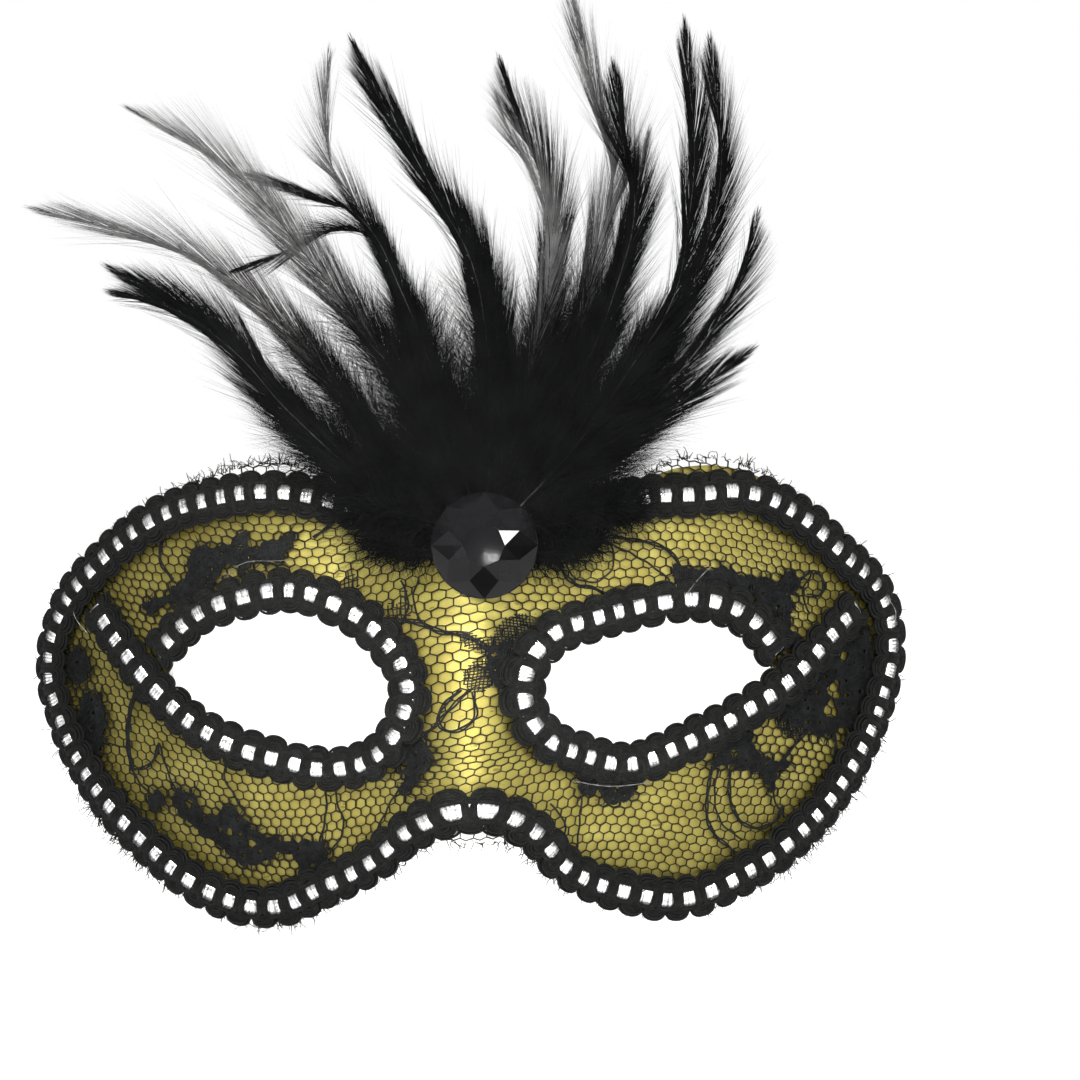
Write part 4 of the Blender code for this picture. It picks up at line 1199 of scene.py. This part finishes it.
def build_feather(number, slab, reach, density, tone, route):
    """A hackle feather: a quill, the barbs of its vane on both sides, and fluff near its root."""
    draw = np.random.default_rng(SEED + 100 + number)
    first, centre = np.array(route[0], float), np.array(GEM_CENTRE)
    root = centre + unit(first - centre) * ROOT_RADIUS
    line = spaced(smooth_line([tuple(root), *route], False, 16), FEATHER_STEP)
    bearing = bearings(line)
    length = FEATHER_STEP * (len(line) - 1)
    fluff_end = FLUFF_SHARE * length
    shape = Shape()
    add_quill(shape, slab, line, 0.13 * (1 - np.linspace(0, 1, len(line))) ** 0.8 + 0.03, 0.12, 1 + tone)

    def at(places, values):
        return np.interp(places, np.linspace(0, length, len(line)), values)

    def uneven(places, count):
        return np.interp(places, np.linspace(0, length, count), draw.normal(0, 1, count))

    for side in (-1, 1):
        count = int(length * density * (3.1 - 0.6 * tone))
        # The barbs stand closer near the root, and light comes through the tip
        places = length * (BARE_ROOT + 0.94 * (1 - draw.uniform(0, 1, count) ** (1 / (1.6 + 0.4 * tone))))
        spread = draw.random(count) < 0.3
        places = np.sort(np.where(spread, draw.uniform(BARE_ROOT * length, length, count), places))
        f = places / length
        starts = np.stack([at(places, line[:, 0]), at(places, line[:, 1])], 1)
        gust, tuft = uneven(places, 14), uneven(places, int(length / 1.3))
        loose = draw.random(count) < 0.07
        open_angle = 16 - 2 * tone - 6 * f - 4 * f**4 + 1.6 * gust + 1.1 * tuft + draw.normal(0, 1.0, count)
        open_angle = np.radians(open_angle + 8 * loose)
        barb = reach * (2.0 + 0.4 * tone) * (0.6 + 0.4 * np.minimum(1, f / 0.3)) * (1 + 0.07 * gust)
        barb = barb * draw.uniform(0.6, 1.1, count)
        # Near the tip a barb ends with the quill
        barb = np.minimum(barb, 0.72 * (length - places) + draw.uniform(0.8, 2.5, count))
        leaving, curl = at(places, bearing) + side * open_angle, -side * open_angle * 0.55 * ~loose
        # A grey feather is black where it leaves the mass and pales on the way to its tip
        pale = f > 0.28 + 0.3 * draw.random(count) if tone else np.zeros(count, bool)
        for finish, chosen in ((0, pale), (2, ~pale)):
            if chosen.any():
                add_barbs(shape, slab, starts[chosen], leaving[chosen], barb[chosen],
                          BARB_HALF - 0.008 * tone, curl[chosen], draw, 6, finish, 0.1)
        fluffy = int(length * FLUFF_SHARE * FLUFF_PER_MM)
        places = draw.uniform(0.0, fluff_end, fluffy)
        starts = np.stack([at(places, line[:, 0]), at(places, line[:, 1])], 1)
        open_angle = draw.uniform(0, 66, fluffy) - 32 * draw.random(fluffy) * places / fluff_end
        open_angle = np.radians(open_angle)
        barb = draw.uniform(8, 27, fluffy) * (1 - 0.5 * places / fluff_end)
        add_barbs(shape, slab, starts, at(places, bearing) + side * open_angle, barb, FLUFF_HALF,
                  -side * open_angle * draw.uniform(-0.3, 1.3, fluffy), draw, 6, 2, 0.18, 0.6)
    name = f"feather_{number:02d}"
    vane = GREY_PLUME if tone else BLACK_PLUME
    piece(name + "_vane", shape, [vane, QUILL, BLACK_PLUME], "black_plumage", name)


def build_down(number, slab, reach, count, route):
    """A downy feather: soft curling strands that spread from its line."""
    draw = np.random.default_rng(SEED + 200 + number)
    line = spaced(smooth_line(route, False, 12), FEATHER_STEP)
    pick = draw.integers(0, len(line), count)
    starts = line[pick] + draw.normal(0, 0.9, (count, 2))
    heading = bearings(line)[pick] + draw.normal(0, 0.75, count)
    length = reach * draw.uniform(0.45, 1.15, count)
    shape = Shape()
    add_barbs(shape, slab, starts, heading, length, DOWN_HALF, draw.normal(0, 0.9, count), draw, 7, 0,
              0.4, 4.6)
    add_quill(shape, slab, line, 0.2 * (1 - np.linspace(0, 1, len(line))) + 0.04)
    piece(f"down_{number}", shape, [BLACK_PLUME], "black_plumage", f"down_feather_{number}")


# ---------------------------------------------------------------- stage

def build_stage():
    mesh = bpy.data.meshes.new("floor")
    # Just under the lowest thread, so that nothing sinks into the floor
    level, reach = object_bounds()[0].z - 0.0002, 12.0
    corners = [(x * reach, y * reach, level) for x, y in ((-1, -1), (1, -1), (1, 1), (-1, 1))]
    mesh.from_pydata(corners, [], [(0, 1, 2, 3)])
    finish = Finish("pale_floor", Roughness=0.9, Emission_Color=(1, 1, 1, 1), Emission_Strength=0.55)
    finish.paint(finish.noise(0.002, 2), (0.3, (0.86, 0.86, 0.86)), (0.7, (0.9, 0.9, 0.9)))
    mesh.materials.append(finish.made)
    floor = bpy.data.objects.new("floor", mesh)
    bpy.context.scene.collection.objects.link(floor)


def area_light(name, place, target, size, power, spread):
    data = bpy.data.lights.new(name, "AREA")
    data.spread = math.radians(spread)
    data.shape = "RECTANGLE"
    data.size, data.size_y = size
    data.energy = power
    light = bpy.data.objects.new(name, data)
    light.location = place
    light.rotation_euler = (Vector(target) - Vector(place)).to_track_quat("-Z", "Y").to_euler()
    light.visible_camera = False
    bpy.context.scene.collection.objects.link(light)


def glint(name, radius, degrees, depth, steep, size, power):
    """A small lamp that the gem's face at this radius and turn mirrors to the camera."""
    turn = math.radians(degrees)
    facet = Vector((GEM_CENTRE[0] + radius * math.cos(turn), GEM_BACK - depth,
                    GEM_CENTRE[1] + radius * math.sin(turn))) * MM
    normal = Vector((steep * math.cos(turn), -1, steep * math.sin(turn))).normalized()
    sight = (bpy.context.scene.camera.location - facet).normalized()
    place = facet + (2 * normal.dot(sight) * normal - sight) * 0.5
    area_light(name, place, facet, size, power, 180.0)


def build_light():
    """White behind the mask, and on it a soft studio: brighter from above than from below."""
    world = bpy.data.worlds.new("studio")
    world.use_nodes = True
    nodes, links = world.node_tree.nodes, world.node_tree.links
    seen = nodes["Background"]
    seen.inputs["Color"].default_value = (1, 1, 1, 1)
    lit, place, axes, half, band, ray, either = (nodes.new("ShaderNode" + kind) for kind in (
        "Background", "TexCoord", "SeparateXYZ", "Math", "ValToRGB", "LightPath", "MixShader"))
    half.operation = "MULTIPLY_ADD"
    half.inputs[1].default_value = half.inputs[2].default_value = 0.5
    band.color_ramp.elements.new(0.4)
    band.color_ramp.elements.new(0.6)
    stops = ((0.0, 0.25), (0.45, 0.35), (0.62, 0.6), (1.0, 1.0))
    for element, (at, level) in zip(band.color_ramp.elements, stops):
        element.position, element.color = at, (level, level, level, 1)
    for source, target in (
            (place.outputs["Generated"], axes.inputs["Vector"]), (axes.outputs["Z"], half.inputs[0]),
            (half.outputs[0], band.inputs["Fac"]), (band.outputs["Color"], lit.inputs["Color"]),
            (ray.outputs["Is Camera Ray"], either.inputs["Fac"]),
            (lit.outputs["Background"], either.inputs[1]),
            (seen.outputs["Background"], either.inputs[2]),
            (either.outputs["Shader"], nodes["World Output"].inputs["Surface"])):
        links.new(source, target)
    bpy.context.scene.world = world
    bpy.context.scene.view_settings.view_transform = "Standard"
    for lamp in LAMPS:
        area_light(*lamp)
    for lamp in GLINTS:
        glint(*lamp)


def build_camera():
    data = bpy.data.cameras.new("camera")
    data.lens = CAMERA_LENS
    data.sensor_width = 36
    data.clip_start, data.clip_end = 0.01, 100
    camera = bpy.data.objects.new("camera", data)
    camera.location = CAMERA_PLACE
    camera.rotation_euler = (math.radians(90), 0, 0)
    bpy.context.scene.collection.objects.link(camera)
    bpy.context.scene.camera = camera


for old in [o for o in bpy.context.scene.objects if o.type in ("LIGHT", "CAMERA")]:
    bpy.data.objects.remove(old)
if "Cube" in bpy.data.objects:
    bpy.data.objects.remove(bpy.data.objects["Cube"])
build_camera()
build_shell()
build_satin()
build_lace()
for index, row in enumerate(BRAIDS):
    build_braid(*row, SEED + 20 + index)
build_fraying()
build_glue()
build_gem()
build_pad()
patch = patch_finish()
build_patch("patch_left", -1, patch, "strap_patch_left")
build_patch("patch_right", 1, patch, "strap_patch_right")
for index, row in enumerate(FEATHERS, 1):
    build_feather(index, *row)
for index, row in enumerate(DOWN_FEATHERS, 1):
    build_down(index, *row)
build_stage()
build_light()
